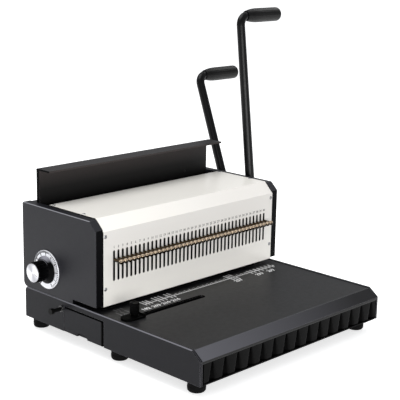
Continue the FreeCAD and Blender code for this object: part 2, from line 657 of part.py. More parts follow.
def ram_springs():
    """Lifting springs round the posts, as plain sleeves."""
    made = body("ram_springs")
    for x in ("-post_side", "post_side"):
        extrude(made, "XY", "guide_top", "bar_low - guide_top", [
            regular(x, "punch_row", "spring_bore + spring_wire", 12),
            regular(x, "punch_row", "spring_bore", 12)])


LOOSE_PINS = [1, 24, 33, 35]


def pin_place(k):
    """Where pin number k stands across the machine."""
    return "hole_pitch * %d - row_half" % (k - 1)


def ram_bar():
    """The ram: a bar with one long slot for the punches, and two arms that reach under the cams."""
    made = body("ram_bar")
    extrude(made, "YZ", "-bar_half", "2 * bar_half", [box("bar_front", "bar_low", "bar_rear", "bar_top")])
    arm = poly(
        ("bar_rear", "bar_top - arm_drop"), ("bar_rear + arm_heel", "bar_top - arm_drop"),
        ("arm_back", "follow_z"), ("arm_reach", "follow_z"), ("arm_reach", "follow_z - arm_deep"),
        ("arm_back + arm_toe - arm_heel", "follow_z - arm_deep"), ("bar_rear", "bar_low"))
    for x in ("-arm_start - arm_thick", "arm_start"):
        extrude(made, "YZ", x, "arm_thick", [arm])
    extrude(made, "XY", "bar_low", "bar_tall", [
        ring("-post_side", "punch_row", "post_half + fit_gap"),
        ring("post_side", "punch_row", "post_half + fit_gap"),
        box("-row_half - punch_half - channel_gap", "punch_row - punch_half - channel_gap",
            "row_half + punch_half + channel_gap", "punch_row + punch_half + channel_gap")], cut=True)
    extrude(made, "XZ", "bar_front", "punch_row - punch_half - bar_front", [
        regular(pin_place(k), "pin_high", "(pin_half + pin_play)", 6) for k in LOOSE_PINS], cut=True)


def punches():
    """Square punches, each with a notch in its front for the end of its pin."""
    made = body("punches", "-row_half", "punch_row", "punch_tip")
    tall = "bar_top - punch_tip"
    low, high = ("pin_high - punch_tip%s notch_tall / 2" % sign for sign in (" -", " +"))
    one = extrude(made, "YZ", "-punch_half", "punch_wide", [poly(
        ("-punch_half", "0"), ("punch_half", "0"), ("punch_half", tall), ("-punch_half", tall),
        ("-punch_half", high), ("notch_deep - punch_half", high),
        ("notch_deep - punch_half", low), ("-punch_half", low))])
    repeat(made, [one], "hole_pitch", "hole_count")


def pull_pin(made, x, seat):
    """One brass pin: a shank that ends at seat, and a head in front of the cover."""
    shank = extrude(made, "XZ", "-pin_head_back", "pin_head_back + " + seat, [
        regular(x, "0", "pin_half", 6)])
    head = extrude(made, "XZ", "-pin_out", "pin_head_long", [regular(x, "0", "pin_head", 6)])
    return [shank, head]


def loose_pins():
    """The pins that can be pulled one by one, each long enough to lock its punch in the ram."""
    for k in LOOSE_PINS:
        made = body("pull_pin_%02d" % k, pin_place(k), "0", "pin_high")
        pull_pin(made, "0", "punch_row - punch_half + notch_deep - pin_play")


def fixed_pins():
    """All the other pins, in runs between the loose ones."""
    made = body("pull_pins", "-row_half", "0", "pin_high")
    before = 0
    for k in LOOSE_PINS + [round(num("hole_count")) + 1]:
        count = k - before - 1
        if count > 0:
            whole = pull_pin(made, "hole_pitch * %d" % before, "bar_front")
        if count > 1:
            repeat(made, whole, "hole_pitch", "%d" % count)
        before = k


die_block()
punch_guide()
guide_posts()
ram_springs()
ram_bar()
punches()
loose_pins()
fixed_pins()


# Shafts, their bushes, the cams and the two levers
def shaft(name, y, z, half, rod_x):
    """A shaft from its blind bore in the left side plate to the lever's hub on the right."""
    made = body(name, "0", y, z)
    inside = "plate_in + blind_deep - blind_gap"
    extrude(made, "YZ", "-(%s)" % inside, "%s + %s + hub_long / 2 + shaft_proud" % (inside, rod_x), [
        ring("0", "0", half)])


def shaft_bushes():
    """Bushes of both shafts, blind in the left side plate and right through the other."""
    made = body("shaft_bushes")
    for y, z, half in (("punch_axis_y", "punch_axis_z", "punch_shaft_half"),
                       ("close_axis_y", "close_axis_z", "close_shaft_half")):
        sleeve = [regular(y, z, half + " + bush_wall", 12), ring(y, z, half + " + running_gap")]
        extrude(made, "YZ", "-plate_in - blind_deep", "blind_deep + bush_proud", sleeve)
        extrude(made, "YZ", "plate_in - bush_proud", "plate_thick + 2 * bush_proud", sleeve)


def cam_face():
    """The cam's outline in the YZ plane round the shaft: an involute that lowers a flat follower evenly."""
    swing = math.radians(num("punch_swing"))
    base = num("ram_travel") / swing
    wound = num("cam_start") / base
    steps = 4
    curve = []
    for i in range(steps + 1):
        turn = swing * i / steps
        y, z = -base, -base * (wound + turn)
        curve.append(FreeCAD.Vector(0, y * math.cos(turn) + z * math.sin(turn),
                                    z * math.cos(turn) - y * math.sin(turn)))
    hub = num("cam_hub")
    flank = [Part.Arc(*curve[i:i + 3]).toShape() for i in range(0, steps, 2)]
    top, back, low = (FreeCAD.Vector(0, 0, hub), FreeCAD.Vector(0, hub, 0), FreeCAD.Vector(0, 0, -hub))
    wire = Part.Wire(flank + [Part.makeLine(curve[-1], top), Part.Arc(top, back, low).toShape(),
                              Part.makeLine(low, curve[0])])
    return Part.Face(wire)


def punch_cams():
    """Two plate cams on the punching shaft, one over each arm of the ram."""
    cams = doc.addObject("Part::Feature", "punch_cams")
    cams.Label = "punch_cams"
    thick = num("arm_thick - 2 * cam_inset")
    pieces = []
    for x in (num("arm_start + cam_inset"), num("-arm_start - arm_thick + cam_inset")):
        start = FreeCAD.Vector(x, 0, 0)
        plate = cam_face().extrude(FreeCAD.Vector(thick, 0, 0))
        plate.translate(start)
        bore = Part.makeCylinder(num("punch_shaft_half"), thick, start, FreeCAD.Vector(1, 0, 0))
        pieces.append(plate.cut(bore))
    cams.Shape = Part.makeCompound(pieces)
    bind(cams, "Placement.Base.x", "shift_x")
    bind(cams, "Placement.Base.y", "shift_y + punch_axis_y")
    bind(cams, "Placement.Base.z", "punch_axis_z")


def lever_rod(name, y, z, lean, rod_x, reach, half):
    """A lever's bar: welded in a hub on its shaft, straight up, and bent over to the right at the top."""
    rod = body(name, rod_x, y, z, lean)
    extrude(rod, "YZ", "-hub_long / 2", "hub_long", [ring("0", "0", "hub_half"), ring("0", "0", half)])
    extrude(rod, "XY", "hub_half - hub_sink", "%s - bend_half - hub_half + hub_sink" % reach, [
        regular("0", "0", "rod_half", 12)])
    face = sketch(rod, "XY", "%s - bend_half" % reach)
    regular("0", "0", "rod_half", 12)(face)
    ends = FreeCAD.Vector(num("bend_half"), 0, 0), FreeCAD.Vector(num("bend_half"), num("bend_half"), 0)
    axis = face.addGeometry(Part.LineSegment(*ends), True)
    pin_point(face, axis, 1, "bend_half", "0")
    pin_point(face, axis, 2, "bend_half", "bend_half")
    doc.recompute()
    bend = rod.newObject("PartDesign::Revolution", "bend")
    bend.Profile = face
    bend.ReferenceAxis = (face, ["Axis0"])
    bend.Angle = 90
    extrude(rod, "YZ", "bend_half", "grip_end - grip_wall - bend_half", [
        regular("0", reach, "rod_half", 12)])


def lever_grip(name, y, z, lean, rod_x, reach):
    """A lever's moulded grip, tapered at its start and closed at its end."""
    grip = body(name, rod_x, y, z, lean)
    outline = [regular("0", reach, "grip_half", 12)]
    extrude(grip, "YZ", "grip_gap + grip_taper", "grip_long - grip_taper", outline)
    soften(grip, "grip_round", lambda b: on_face(b, "grip_end"), "Chamfer")
    nose = extrude(grip, "YZ", "grip_gap + grip_taper", "grip_taper", outline)
    nose.Reversed = True
    bind(nose, "TaperAngle", "-atan((grip_half - grip_nose) / grip_taper)")
    extrude(grip, "YZ", "grip_gap", "grip_long - grip_wall", [
        regular("0", reach, "rod_half", 12)], cut=True)


def lever(tag, y, z, lean, rod_x, reach, half):
    """A lever with its grip."""
    lever_rod(tag + "_lever_rod", y, z, lean, rod_x, reach, half)
    lever_grip(tag + "_lever_grip", y, z, lean, rod_x, reach)


shaft("punch_shaft", "punch_axis_y", "punch_axis_z", "punch_shaft_half", "front_rod_x")
shaft("closing_shaft", "close_axis_y", "close_axis_z", "close_shaft_half", "rear_rod_x")
shaft_bushes()
punch_cams()
lever("punch", "punch_axis_y", "punch_axis_z", "front_lean", "front_rod_x", "front_reach",
      "punch_shaft_half")
lever("closing", "close_axis_y", "close_axis_z", "rear_lean", "rear_rod_x", "rear_reach",
      "close_shaft_half")


# Closing bar, its guides and anvil, and the cranks and brackets that lower it
def closing_cranks():
    """Two cranks on the closing shaft, each with a pin that runs in a lift bracket's slot."""
    made = body("closing_cranks", "0", "close_axis_y", "close_axis_z")
    off, rise = "crank_eye * sin(crank_rise)", "crank_eye * cos(crank_rise)"
    features = [
        extrude(made, "YZ", "crank_side", "crank_thick", [regular("0", "0", "crank_hub", 12)]),
        extrude(made, "YZ", "crank_side", "crank_thick", [poly(
            (off, rise), ("-" + off, "-" + rise), ("eye_y - " + off, "eye_z - " + rise),
            ("eye_y + " + off, "eye_z + " + rise))]),
        extrude(made, "YZ", "crank_side", "crank_thick", [regular("eye_y", "eye_z", "crank_eye", 12)]),
        extrude(made, "YZ", "crank_side + crank_thick", "link_gap * 2 + link_thick", [
            ring("eye_y", "eye_z", "crank_pin")]),
        extrude(made, "YZ", "crank_side", "crank_thick", [ring("0", "0", "close_shaft_half")], cut=True)]
    mirror(made, features)


def lift_brackets():
    """Two brackets on the closing bar, each with a level slot for a crank's pin."""
    made = body("lift_brackets")
    front, rear = "link_front - link_slot - link_margin", "link_rear + link_slot + link_margin"
    low = "crank_z - link_slot - link_margin"
    features = [
        extrude(made, "YZ", "link_x", "link_thick", [poly(
            ("web_face", "link_arm_low"), ("web_face", "link_arm_top"), (front, "link_arm_top"),
            (front, low), (rear, low), (rear, "link_arm_low"))]),
        extrude(made, "YZ", "link_x", "link_thick", [
            oblong("link_front", "crank_z", "link_rear", "crank_z", "link_slot")], cut=True)]
    mirror(made, features)


def closing_bar():
    """The closing bar: an upright web behind the machine's middle and a broad flange over it."""
    made = body("closing_bar")
    extrude(made, "YZ", "-plate_in", "2 * plate_in + flange_over", [box(
        "web_face - flange_ahead", "flange_top - flange_thick", "web_face + web_thick", "flange_top")])
    extrude(made, "YZ", "web_gap - plate_in", "2 * plate_in - web_gap - web_notch", [box(
        "web_face", "web_low", "web_face + web_thick", "flange_top - flange_thick")])
    soften(made, "flange_round", lambda b: at_point(b, "YZ", "web_face + web_thick", "flange_top"))


def bar_guides():
    """Upright strips on the side plates, in front of and behind the closing bar's web."""
    made = body("bar_guides")
    for start in ("-plate_in", "plate_in - jaw_long"):
        for front in ("web_face - fit_gap - jaw_deep", "web_face + web_thick + fit_gap"):
            extrude(made, "YZ", start, "jaw_long", [
                box(front, "jaw_low", front + " + jaw_deep", "jaw_top")])


def closing_anvil():
    """The bar between the side plates that the wire binding is closed against."""
    made = body("closing_anvil")
    extrude(made, "YZ", "-plate_in", "2 * plate_in", [
        box("anvil_front", "anvil_low", "anvil_rear", "anvil_top")])
    soften(made, "anvil_soft", lambda b: at_point(b, "YZ", "anvil_rear", "anvil_top")
           or at_point(b, "YZ", "anvil_front", "anvil_top"), "Chamfer")


closing_cranks()
lift_brackets()
closing_bar()
bar_guides()
closing_anvil()


# Dial that sets how far the closing bar goes
def dial():
    """The dial: a graduated plate, a fluted knob with a cap, and a shaft with an eccentric stop inside."""
    plate = body("dial_plate", "-plate_half", "dial_y", "dial_z")
    extrude(plate, "YZ", "-dial_thick", "dial_thick", [
        regular("0", "0", "dial_half", 36), ring("0", "0", "dial_shaft_half + running_gap")])
    knob = body("dial_knob", "-knob_x", "dial_y", "dial_z")
    bore = regular("0", "0", "knob_bore", 12)
    barrel = "knob_tall - knob_skirt_tall"
    extrude(knob, "YZ", "-knob_skirt_tall", "knob_skirt_tall", [regular("0", "0", "knob_skirt", 24), bore])
    extrude(knob, "YZ", "-knob_tall", barrel, [regular("0", "0", "knob_half", 18), bore])
    flute = extrude(knob, "YZ", "-knob_tall", barrel, [
        box("knob_half - knob_flute", "-knob_flute", "knob_half + knob_flute", "knob_flute")], cut=True)
    around(knob, [flute], "knob_flutes", "X_Axis")
    cap = body("dial_cap", "-knob_x", "dial_y", "dial_z")
    extrude(cap, "YZ", "-knob_tall - cap_tall", "cap_tall", [regular("0", "0", "cap_half", 24)])
    axle = body("dial_shaft", "0", "dial_y", "dial_z")
    extrude(axle, "YZ", "-knob_x - knob_tall", "knob_x + knob_tall - plate_in + dial_gap + stop_thick", [
        ring("0", "0", "dial_shaft_half")])
    extrude(axle, "YZ", "dial_gap - plate_in", "stop_thick", [regular("0", "stop_offset", "stop_half", 12)])


dial()


# Margin screw with its eccentric, and the paper stop that it moves
def margin_screw():
    """A knurled screw in a bushing nut in the base's left side, with an eccentric disc inside."""
    nut = body("margin_nut")
    extrude(nut, "YZ", "-base_half - nut_out", "nut_out", [
        regular("margin_y", "margin_z", "nut_half", 6)])
    extrude(nut, "YZ", "-base_half", "base_side + nut_in", [
        regular("margin_y", "margin_z", "nut_barrel", 16)])
    extrude(nut, "YZ", "-base_half - nut_out", "base_side + nut_in + nut_out", [
        ring("margin_y", "margin_z", "margin_half + running_gap")], cut=True)
    screw = body("margin_screw", "0", "margin_y", "margin_z")
    extrude(screw, "YZ", "-base_half - margin_out", "margin_out + base_side + cam_in + margin_end", [
        ring("0", "0", "margin_half")])
    extrude(screw, "YZ", "-base_half - margin_out", "margin_head_long", [
        regular("0", "0", "margin_head", 12)])
    extrude(screw, "YZ", "-cam_x", "cam_wide", [ring("-cam_offset", "0", "cam_disc")])


def depth_stop():
    """The paper stop: a bar across the throat, an arm back on the left and a leg down to the eccentric."""
    made = body("depth_stop")
    extrude(made, "XY", "stop_z", "stop_tall", [
        box("-cam_x", "stop_front", "stop_bar_half", "stop_front + stop_deep")])
    extrude(made, "XY", "stop_z", "stop_tall - stop_step", [
        box("-cam_x", "stop_front", "cam_wide - cam_x", "leg_y + stop_leg")])
    extrude(made, "XY", "margin_z - leg_down", "stop_z - margin_z + leg_down", [
        box("-cam_x", "leg_y", "cam_wide - cam_x", "leg_y + stop_leg")])


margin_screw()
depth_stop()


# Chip drawer: a tray behind a face plate that fills the opening in the left side
def drawer():
    """The drawer's tray and its face plate with a finger notch in the lower edge."""
    tray = body("drawer_tray")
    extrude(tray, "XY", "tray_z", "tray_top - tray_z", [
        box("-drawer_in", "tray_front", "tray_end", "tray_rear")])
    extrude(tray, "XY", "tray_z + tray_wall", "tray_top - tray_z", [box(
        "tray_wall - drawer_in", "tray_front + tray_wall",
        "tray_end - tray_wall", "tray_rear - tray_wall")], cut=True)
    face = body("drawer_face")
    extrude(face, "YZ", "-base_half", "drawer_face", [poly(
        ("-drawer_ahead", "drawer_low"), ("finger_ahead", "drawer_low"),
        ("finger_ahead + finger_slope", "drawer_low + finger_tall"),
        ("finger_ahead + finger_wide - finger_slope", "drawer_low + finger_tall"),
        ("finger_ahead + finger_wide", "drawer_low"), ("drawer_behind", "drawer_low"),
        ("drawer_behind", "drawer_top"), ("-drawer_ahead", "drawer_top"))])


def drawer_runners():
    """Two angle strips on the pan that the tray slides between."""
    made = body("drawer_runners")
    for y, out, back in (("tray_front - fit_gap", " - ", " + "), ("tray_rear + fit_gap", " + ", " - ")):
        inner, outer = y + back + "runner_foot", y + out + "runner_thick"
        extrude(made, "YZ", "runner_start - base_in", "base_in + tray_end", [poly(
            (inner, "pan_z"), (outer, "pan_z"), (outer, "pan_z + runner_tall"), (y, "pan_z + runner_tall"),
            (y, "pan_z + runner_thick"), (inner, "pan_z + runner_thick"))])


drawer()
drawer_runners()


# Edge guide on the table: a foot plate with a fence, a clamp nut below the track and a knurled knob
def edge_guide():
    """The guide's foot plate, round at its left end, with a low fence along its right side."""
    made = body("edge_guide", "-guide_x", "-track_ahead", "table_z + fit_gap")
    extrude(made, "XY", "0", "guide_plate", [
        box("-guide_left", "-guide_half", "guide_right", "guide_half")])
    extrude(made, "XY", "0", "guide_plate", [regular("-guide_left", "0", "guide_half", 24)])
    extrude(made, "XY", "guide_plate", "fence_tall - guide_plate", [
        box("guide_right - fence_thick", "-guide_half", "guide_right", "guide_half")])
    extrude(made, "XY", "0", "guide_plate", [ring("0", "0", "clamp_stud + running_gap")], cut=True)


def guide_clamp():
    """The guide's knob with its stud through the track, and the square nut below the table."""
    knob = body("guide_knob", "-guide_x", "-track_ahead", "table_z + fit_gap + guide_plate")
    stud = "guide_plate + table_thick + 2 * fit_gap + clamp_thick"
    extrude(knob, "XY", "neck_tall", "turn_tall", [regular("0", "0", "turn_half", 20)])
    extrude(knob, "XY", "0", "neck_tall", [regular("0", "0", "neck_half", 20)])
    extrude(knob, "XY", "-(%s)" % stud, stud, [ring("0", "0", "clamp_stud")])
    nut = body("guide_nut", "-guide_x", "-track_ahead", "track_z - fit_gap")
    extrude(nut, "XY", "-clamp_thick", "clamp_thick", [
        box("-clamp_half", "-clamp_half", "clamp_half", "clamp_half"),
        ring("0", "0", "clamp_stud + running_gap")])


edge_guide()
guide_clamp()

# Every object has to be sound before anything is written
doc.recompute()
for thing in doc.Objects:
    if "Invalid" in thing.State or "Error" in thing.State:
        raise RuntimeError("%s failed" % thing.Label)
parts = [thing for thing in doc.Objects if thing.TypeId in ("PartDesign::Body", "Part::Feature")
         and (thing.TypeId == "PartDesign::Body" or thing.Label == "punch_cams")]
for thing in parts:
    if thing.Shape.isNull() or not thing.Shape.isValid() or not thing.Shape.Solids:
        raise RuntimeError("%s has no sound shape" % thing.Label)
os.makedirs("parts", exist_ok=True)
for thing in parts:
    thing.Shape.exportStep("parts/%s.step" % thing.Label)
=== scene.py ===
import bmesh
import bpy
import numpy as np
from mathutils import Matrix, Vector


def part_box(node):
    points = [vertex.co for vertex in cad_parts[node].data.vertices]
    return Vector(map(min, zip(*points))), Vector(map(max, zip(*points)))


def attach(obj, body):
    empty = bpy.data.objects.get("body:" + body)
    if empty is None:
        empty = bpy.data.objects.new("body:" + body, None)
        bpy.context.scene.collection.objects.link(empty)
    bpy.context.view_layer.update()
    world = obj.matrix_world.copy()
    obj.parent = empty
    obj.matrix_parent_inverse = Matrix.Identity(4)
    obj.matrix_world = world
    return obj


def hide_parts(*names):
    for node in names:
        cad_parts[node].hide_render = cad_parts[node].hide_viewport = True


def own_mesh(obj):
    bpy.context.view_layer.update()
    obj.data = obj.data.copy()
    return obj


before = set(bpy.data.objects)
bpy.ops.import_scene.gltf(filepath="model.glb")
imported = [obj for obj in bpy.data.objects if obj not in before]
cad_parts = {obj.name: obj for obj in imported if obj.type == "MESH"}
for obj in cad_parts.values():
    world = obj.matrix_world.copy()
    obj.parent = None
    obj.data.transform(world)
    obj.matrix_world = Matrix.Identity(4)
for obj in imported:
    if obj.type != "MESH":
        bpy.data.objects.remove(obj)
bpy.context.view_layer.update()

scene = bpy.context.scene
scene.view_settings.view_transform = "Standard"


# Camera: it stands ahead of the machine's left front corner, a little above the table, and looks at the
# right rear corner. A long lens keeps the edges nearly parallel.
camera_place = np.array([-1.2221, -1.1611, 0.6040])
turn, drop, tilt = np.radians([44.99, 13.53, 0.89])
ahead = np.array([np.sin(turn) * np.cos(drop), np.cos(turn) * np.cos(drop), -np.sin(drop)])
level = np.array([np.cos(turn), -np.sin(turn), 0])
upright = np.cross(level, ahead)
seat = np.eye(4)
seat[:3, 0] = np.cos(tilt) * level + np.sin(tilt) * upright
seat[:3, 1] = np.cos(tilt) * upright - np.sin(tilt) * level
seat[:3, 2] = -ahead
seat[:3, 3] = camera_place
camera = bpy.data.objects.new("camera", bpy.data.cameras.new("camera"))
scene.collection.objects.link(camera)
camera.matrix_world = Matrix(seat)
camera.data.lens = 98.07
camera.data.sensor_width = 36
camera.data.shift_x, camera.data.shift_y = 0.0390, -0.0092
scene.camera = camera


# Studio: a wide white paper floor, an even pale sky and three soft boxes: overhead, in front and at the right.
# Floor and sky show white to the eye, the floor keeps the machine's soft shadow, and gloss mirrors a dimmer sky.
def link(tree, one, out, two, into):
    """Join socket out of node one to socket into of node two."""
    tree.links.new(one.outputs[out], two.inputs[into])


def seen_rays(tree):
    """A number that is 1 for rays from the eye, from gloss and through glass, and 0 for light that falls on things."""
    path = tree.nodes.new("ShaderNodeLightPath")
    first, second = (tree.nodes.new("ShaderNodeMath") for _ in range(2))
    first.operation = second.operation = "MAXIMUM"
    link(tree, path, "Is Camera Ray", first, 0)
    link(tree, path, "Is Glossy Ray", first, 1)
    link(tree, first, 0, second, 0)
    link(tree, path, "Is Transmission Ray", second, 1)
    return second


floor_reach, floor_z, floor_lines = 24, -0.0004, 9
side = np.linspace(-floor_reach, floor_reach, floor_lines)
floor_points = np.stack([*np.meshgrid(side, side), np.full((floor_lines, floor_lines), floor_z)], axis=-1)
cells = np.arange(floor_lines ** 2).reshape(floor_lines, floor_lines)
floor_faces = np.stack([cells[:-1, :-1], cells[:-1, 1:], cells[1:, 1:], cells[1:, :-1]], axis=-1).reshape(-1, 4)
floor_mesh = bpy.data.meshes.new("floor")
floor_mesh.from_pydata(floor_points.reshape(-1, 3), [], floor_faces.tolist())
floor = bpy.data.objects.new("floor", floor_mesh)
scene.collection.objects.link(floor)
paper = bpy.data.materials.new("studio_paper")
paper.use_nodes = True
tree = paper.node_tree
tree.nodes.clear()
matt, glow, both = (tree.nodes.new("ShaderNode" + n) for n in ("BsdfDiffuse", "Emission", "AddShader"))
matt.inputs["Color"].default_value = (0.75, 0.75, 0.75, 1)
paper_glow = 0.66
share = tree.nodes.new("ShaderNodeMath")
share.operation = "MULTIPLY"
share.inputs[1].default_value = paper_glow
link(tree, seen_rays(tree), 0, share, 0)
link(tree, share, 0, glow, "Strength")
link(tree, matt, 0, both, 0)
link(tree, glow, 0, both, 1)
link(tree, both, 0, tree.nodes.new("ShaderNodeOutputMaterial"), 0)
floor_mesh.materials.append(paper)

world = bpy.data.worlds.new("pale_sky")
scene.world = world
world.use_nodes = True
tree = world.node_tree
sky = tree.nodes["Background"]
white, mixed, path, dimmed = (tree.nodes.new("ShaderNode" + n) for n in
                              ("Background", "MixShader", "LightPath", "MapRange"))
sky.inputs["Color"].default_value = (0.97, 0.98, 1.0, 1)
white.inputs["Color"].default_value = (1, 1, 1, 1)
sky_light, sky_in_gloss = 0.74, 0.42
dimmed.inputs["To Min"].default_value, dimmed.inputs["To Max"].default_value = sky_light, sky_in_gloss
link(tree, path, "Is Glossy Ray", dimmed, "Value")
link(tree, dimmed, 0, sky, "Strength")
link(tree, path, "Is Camera Ray", mixed, 0)
link(tree, sky, 0, mixed, 1)
link(tree, white, 0, mixed, 2)
link(tree, mixed, 0, tree.nodes["World Output"], 0)

lamp_aim = Vector((0, 0, 0.2))
for name, place, size, tall, watts in (("overhead_box", (-0.4, 0.7, 2.2), 1.6, 1.6, 26),
                                       ("front_box", (-1.4, -2.5, 0.36), 2.4, 0.7, 43),
                                       ("right_box", (1.5, 0.3, 1.6), 1.0, 1.0, 6)):
    lamp = bpy.data.objects.new(name, bpy.data.lights.new(name, "AREA"))
    lamp.data.shape, lamp.data.size, lamp.data.size_y, lamp.data.energy = "RECTANGLE", size, tall, watts
    scene.collection.objects.link(lamp)
    lamp.location = place
    lamp.rotation_euler = (Vector(place) - lamp_aim).to_track_quat("Z", "Y").to_euler()


# Base box: two upright sides, a folded pan and a table whose front is bevelled, all pressed from steel sheet, screwed
# together and coated with a fine textured black powder. The sides' rims carry a painted highlight.
def colour(red, green, blue):
    """A colour as a screen shows it, 0 to 255, made linear."""
    c = np.array([red, green, blue]) / 255
    return (*np.where(c <= 0.04045, c / 12.92, ((c + 0.055) / 1.055) ** 2.4), 1)


def finish(name, base, rough, grain=0.0006, rise=0.00003, cloud=0.06, vary=0.12, edge_highlight=None, metal=0.0, clear=0.0,
           stretch=(1, 1, 1), soft=0.0006, gloss=0.5):
    """A finish on object coordinates. Its surface rises and falls by rise metres over cells of grain metres, its
    colour moves by cloud and its roughness by vary with slow noises, its edges are rounded over soft metres, and
    where they turn sharply they take a patchy painted highlight in the colour edge_highlight. clear adds a clear
    coat, stretch scales the noises along each axis, and gloss is how strongly it mirrors."""
    made = bpy.data.materials.new(name)
    made.use_nodes = True
    tree = made.node_tree
    shader = tree.nodes["Principled BSDF"]
    shader.inputs["Metallic"].default_value = metal
    shader.inputs["Coat Weight"].default_value = clear
    shader.inputs["Coat Roughness"].default_value = 0.08
    shader.inputs["Specular IOR Level"].default_value = gloss
    place, turned_to = tree.nodes.new("ShaderNodeTexCoord"), tree.nodes.new("ShaderNodeMapping")
    turned_to.inputs["Scale"].default_value = stretch
    link(tree, place, "Object", turned_to, "Vector")
    fine, slow, patch = (tree.nodes.new("ShaderNodeTexNoise") for _ in range(3))
    for noise, cells, detail in ((fine, 1 / grain, 2), (slow, 22, 3), (patch, 140, 4)):
        noise.inputs["Scale"].default_value = cells
        noise.inputs["Detail"].default_value = detail
        link(tree, turned_to, 0, noise, "Vector")
    bump, edge = tree.nodes.new("ShaderNodeBump"), tree.nodes.new("ShaderNodeBevel")
    bump.inputs["Distance"].default_value = rise
    edge.inputs["Radius"].default_value = soft
    edge.samples = 4
    link(tree, fine, "Fac", bump, "Height")
    link(tree, edge, 0, bump, "Normal")
    link(tree, bump, 0, shader, "Normal")
    dark, pale = (tuple(np.clip(np.array(base[:3]) * (1 + s * cloud), 0, 1)) + (1,) for s in (-1, 1))
    tone = tree.nodes.new("ShaderNodeMix")
    tone.data_type = "RGBA"
    tone.inputs[6].default_value, tone.inputs[7].default_value = dark, pale
    link(tree, slow, "Fac", tone, 0)
    last = tone
    # The coat takes a patchy painted highlight where the rounded edge's direction leaves that of the face.
    if edge_highlight:
        shape, turned_by = tree.nodes.new("ShaderNodeNewGeometry"), tree.nodes.new("ShaderNodeVectorMath")
        turned_by.operation = "DOT_PRODUCT"
        link(tree, shape, "Normal", turned_by, 0)
        link(tree, edge, 0, turned_by, 1)
        edge_lit_share = tree.nodes.new("ShaderNodeMapRange")
        edge_lit_share.inputs["From Min"].default_value, edge_lit_share.inputs["From Max"].default_value = 0.99, 0.86
        edge_lit_share.inputs["To Max"].default_value = 1.7
        link(tree, turned_by, "Value", edge_lit_share, "Value")
        patchy = tree.nodes.new("ShaderNodeMath")
        patchy.operation = "MULTIPLY"
        link(tree, edge_lit_share, 0, patchy, 0)
        link(tree, patch, "Fac", patchy, 1)
        last = tree.nodes.new("ShaderNodeMix")
        last.data_type = "RGBA"
        last.inputs[7].default_value = edge_highlight
        link(tree, patchy, 0, last, 0)
        link(tree, tone, 2, last, 6)
    link(tree, last, 2, shader, "Base Color")
    blur = tree.nodes.new("ShaderNodeMapRange")
    blur.inputs["To Min"].default_value = max(0.02, rough * (1 - vary))
    blur.inputs["To Max"].default_value = min(1, rough * (1 + vary))
    link(tree, patch, "Fac", blur, "Value")
    link(tree, blur, 0, shader, "Roughness")
    return made


def share_of(tree, output, axis, start, end, either_way=False):
    """A number that goes from 0 to 1 as one coordinate of a point (output Object) or of its surface's direction
    (output Normal) goes from start to end. either_way takes that coordinate without its sign."""
    place, parts, span = (tree.nodes.new("ShaderNode" + n) for n in ("TexCoord", "SeparateXYZ", "MapRange"))
    size = tree.nodes.new("ShaderNodeMath")
    size.operation = "ABSOLUTE" if either_way else "ADD"
    size.inputs[1].default_value = 0
    span.inputs["From Min"].default_value, span.inputs["From Max"].default_value = float(start), float(end)
    link(tree, place, output, parts, 0)
    link(tree, parts, axis, size, 0)
    link(tree, size, 0, span, "Value")
    return span


def tint(coat, toward, *shares):
    """Turn a finish's colour toward another where all shares are 1, and dull it there. Each share is what share_of
    takes after the tree, or a function that builds its own number in the tree."""
    tree = coat.node_tree
    shader = tree.nodes["Principled BSDF"]

    def built(share):
        return share(tree) if callable(share) else share_of(tree, *share)

    share = built(shares[0])
    for other in shares[1:]:
        both = tree.nodes.new("ShaderNodeMath")
        both.operation = "MULTIPLY"
        link(tree, share, 0, both, 0)
        link(tree, built(other), 0, both, 1)
        share = both
    before = shader.inputs["Base Color"].links[0].from_socket
    tone = tree.nodes.new("ShaderNodeMix")
    tone.data_type = "RGBA"
    tone.inputs[7].default_value = toward
    link(tree, share, 0, tone, 0)
    tree.links.new(before, tone.inputs[6])
    link(tree, tone, 2, shader, "Base Color")
    dulled_gloss = 0.03
    dull = tree.nodes.new("ShaderNodeMapRange")
    dull.inputs["To Min"].default_value = shader.inputs["Specular IOR Level"].default_value
    dull.inputs["To Max"].default_value = dulled_gloss
    link(tree, share, 0, dull, "Value")
    link(tree, dull, 0, shader, "Specular IOR Level")


def paint(coat, *names):
    """Give CAD nodes a finish."""
    for name in names:
        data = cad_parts[name].data
        data.materials.clear()
        data.materials.append(coat)


black_powder = finish("black_powder_coat", colour(16, 16, 21), 0.46, grain=0.0009, rise=0.00004,
                      edge_highlight=colour(128, 128, 132), gloss=0.17)
table_powder = finish("table_powder_coat", colour(21, 21, 23), 0.42, grain=0.0009, rise=0.00004,
                      edge_highlight=colour(112, 112, 116), gloss=0.22, soft=0.0018)
# The rims slope between the left face and the top and carry a painted highlight. The table's front edge has painted
# shade, and its bevel a painted highlight that grows toward the left.
lit_rim = ("Normal", "X", -0.6, -0.68), ("Normal", "Z", 0.6, 0.68)
tint(black_powder, colour(116, 116, 122), *lit_rim)
tint(table_powder, colour(8, 8, 9), ("Normal", "Y", -0.93, -0.99))
tint(table_powder, colour(84, 84, 89), ("Normal", "Y", -0.3, -0.5), ("Normal", "Z", 0.3, 0.5),
     ("Object", "X", 0.1, -0.26))
paint(black_powder, "base_side_left", "base_side_right", "base_pan")
paint(table_powder, "base_table")


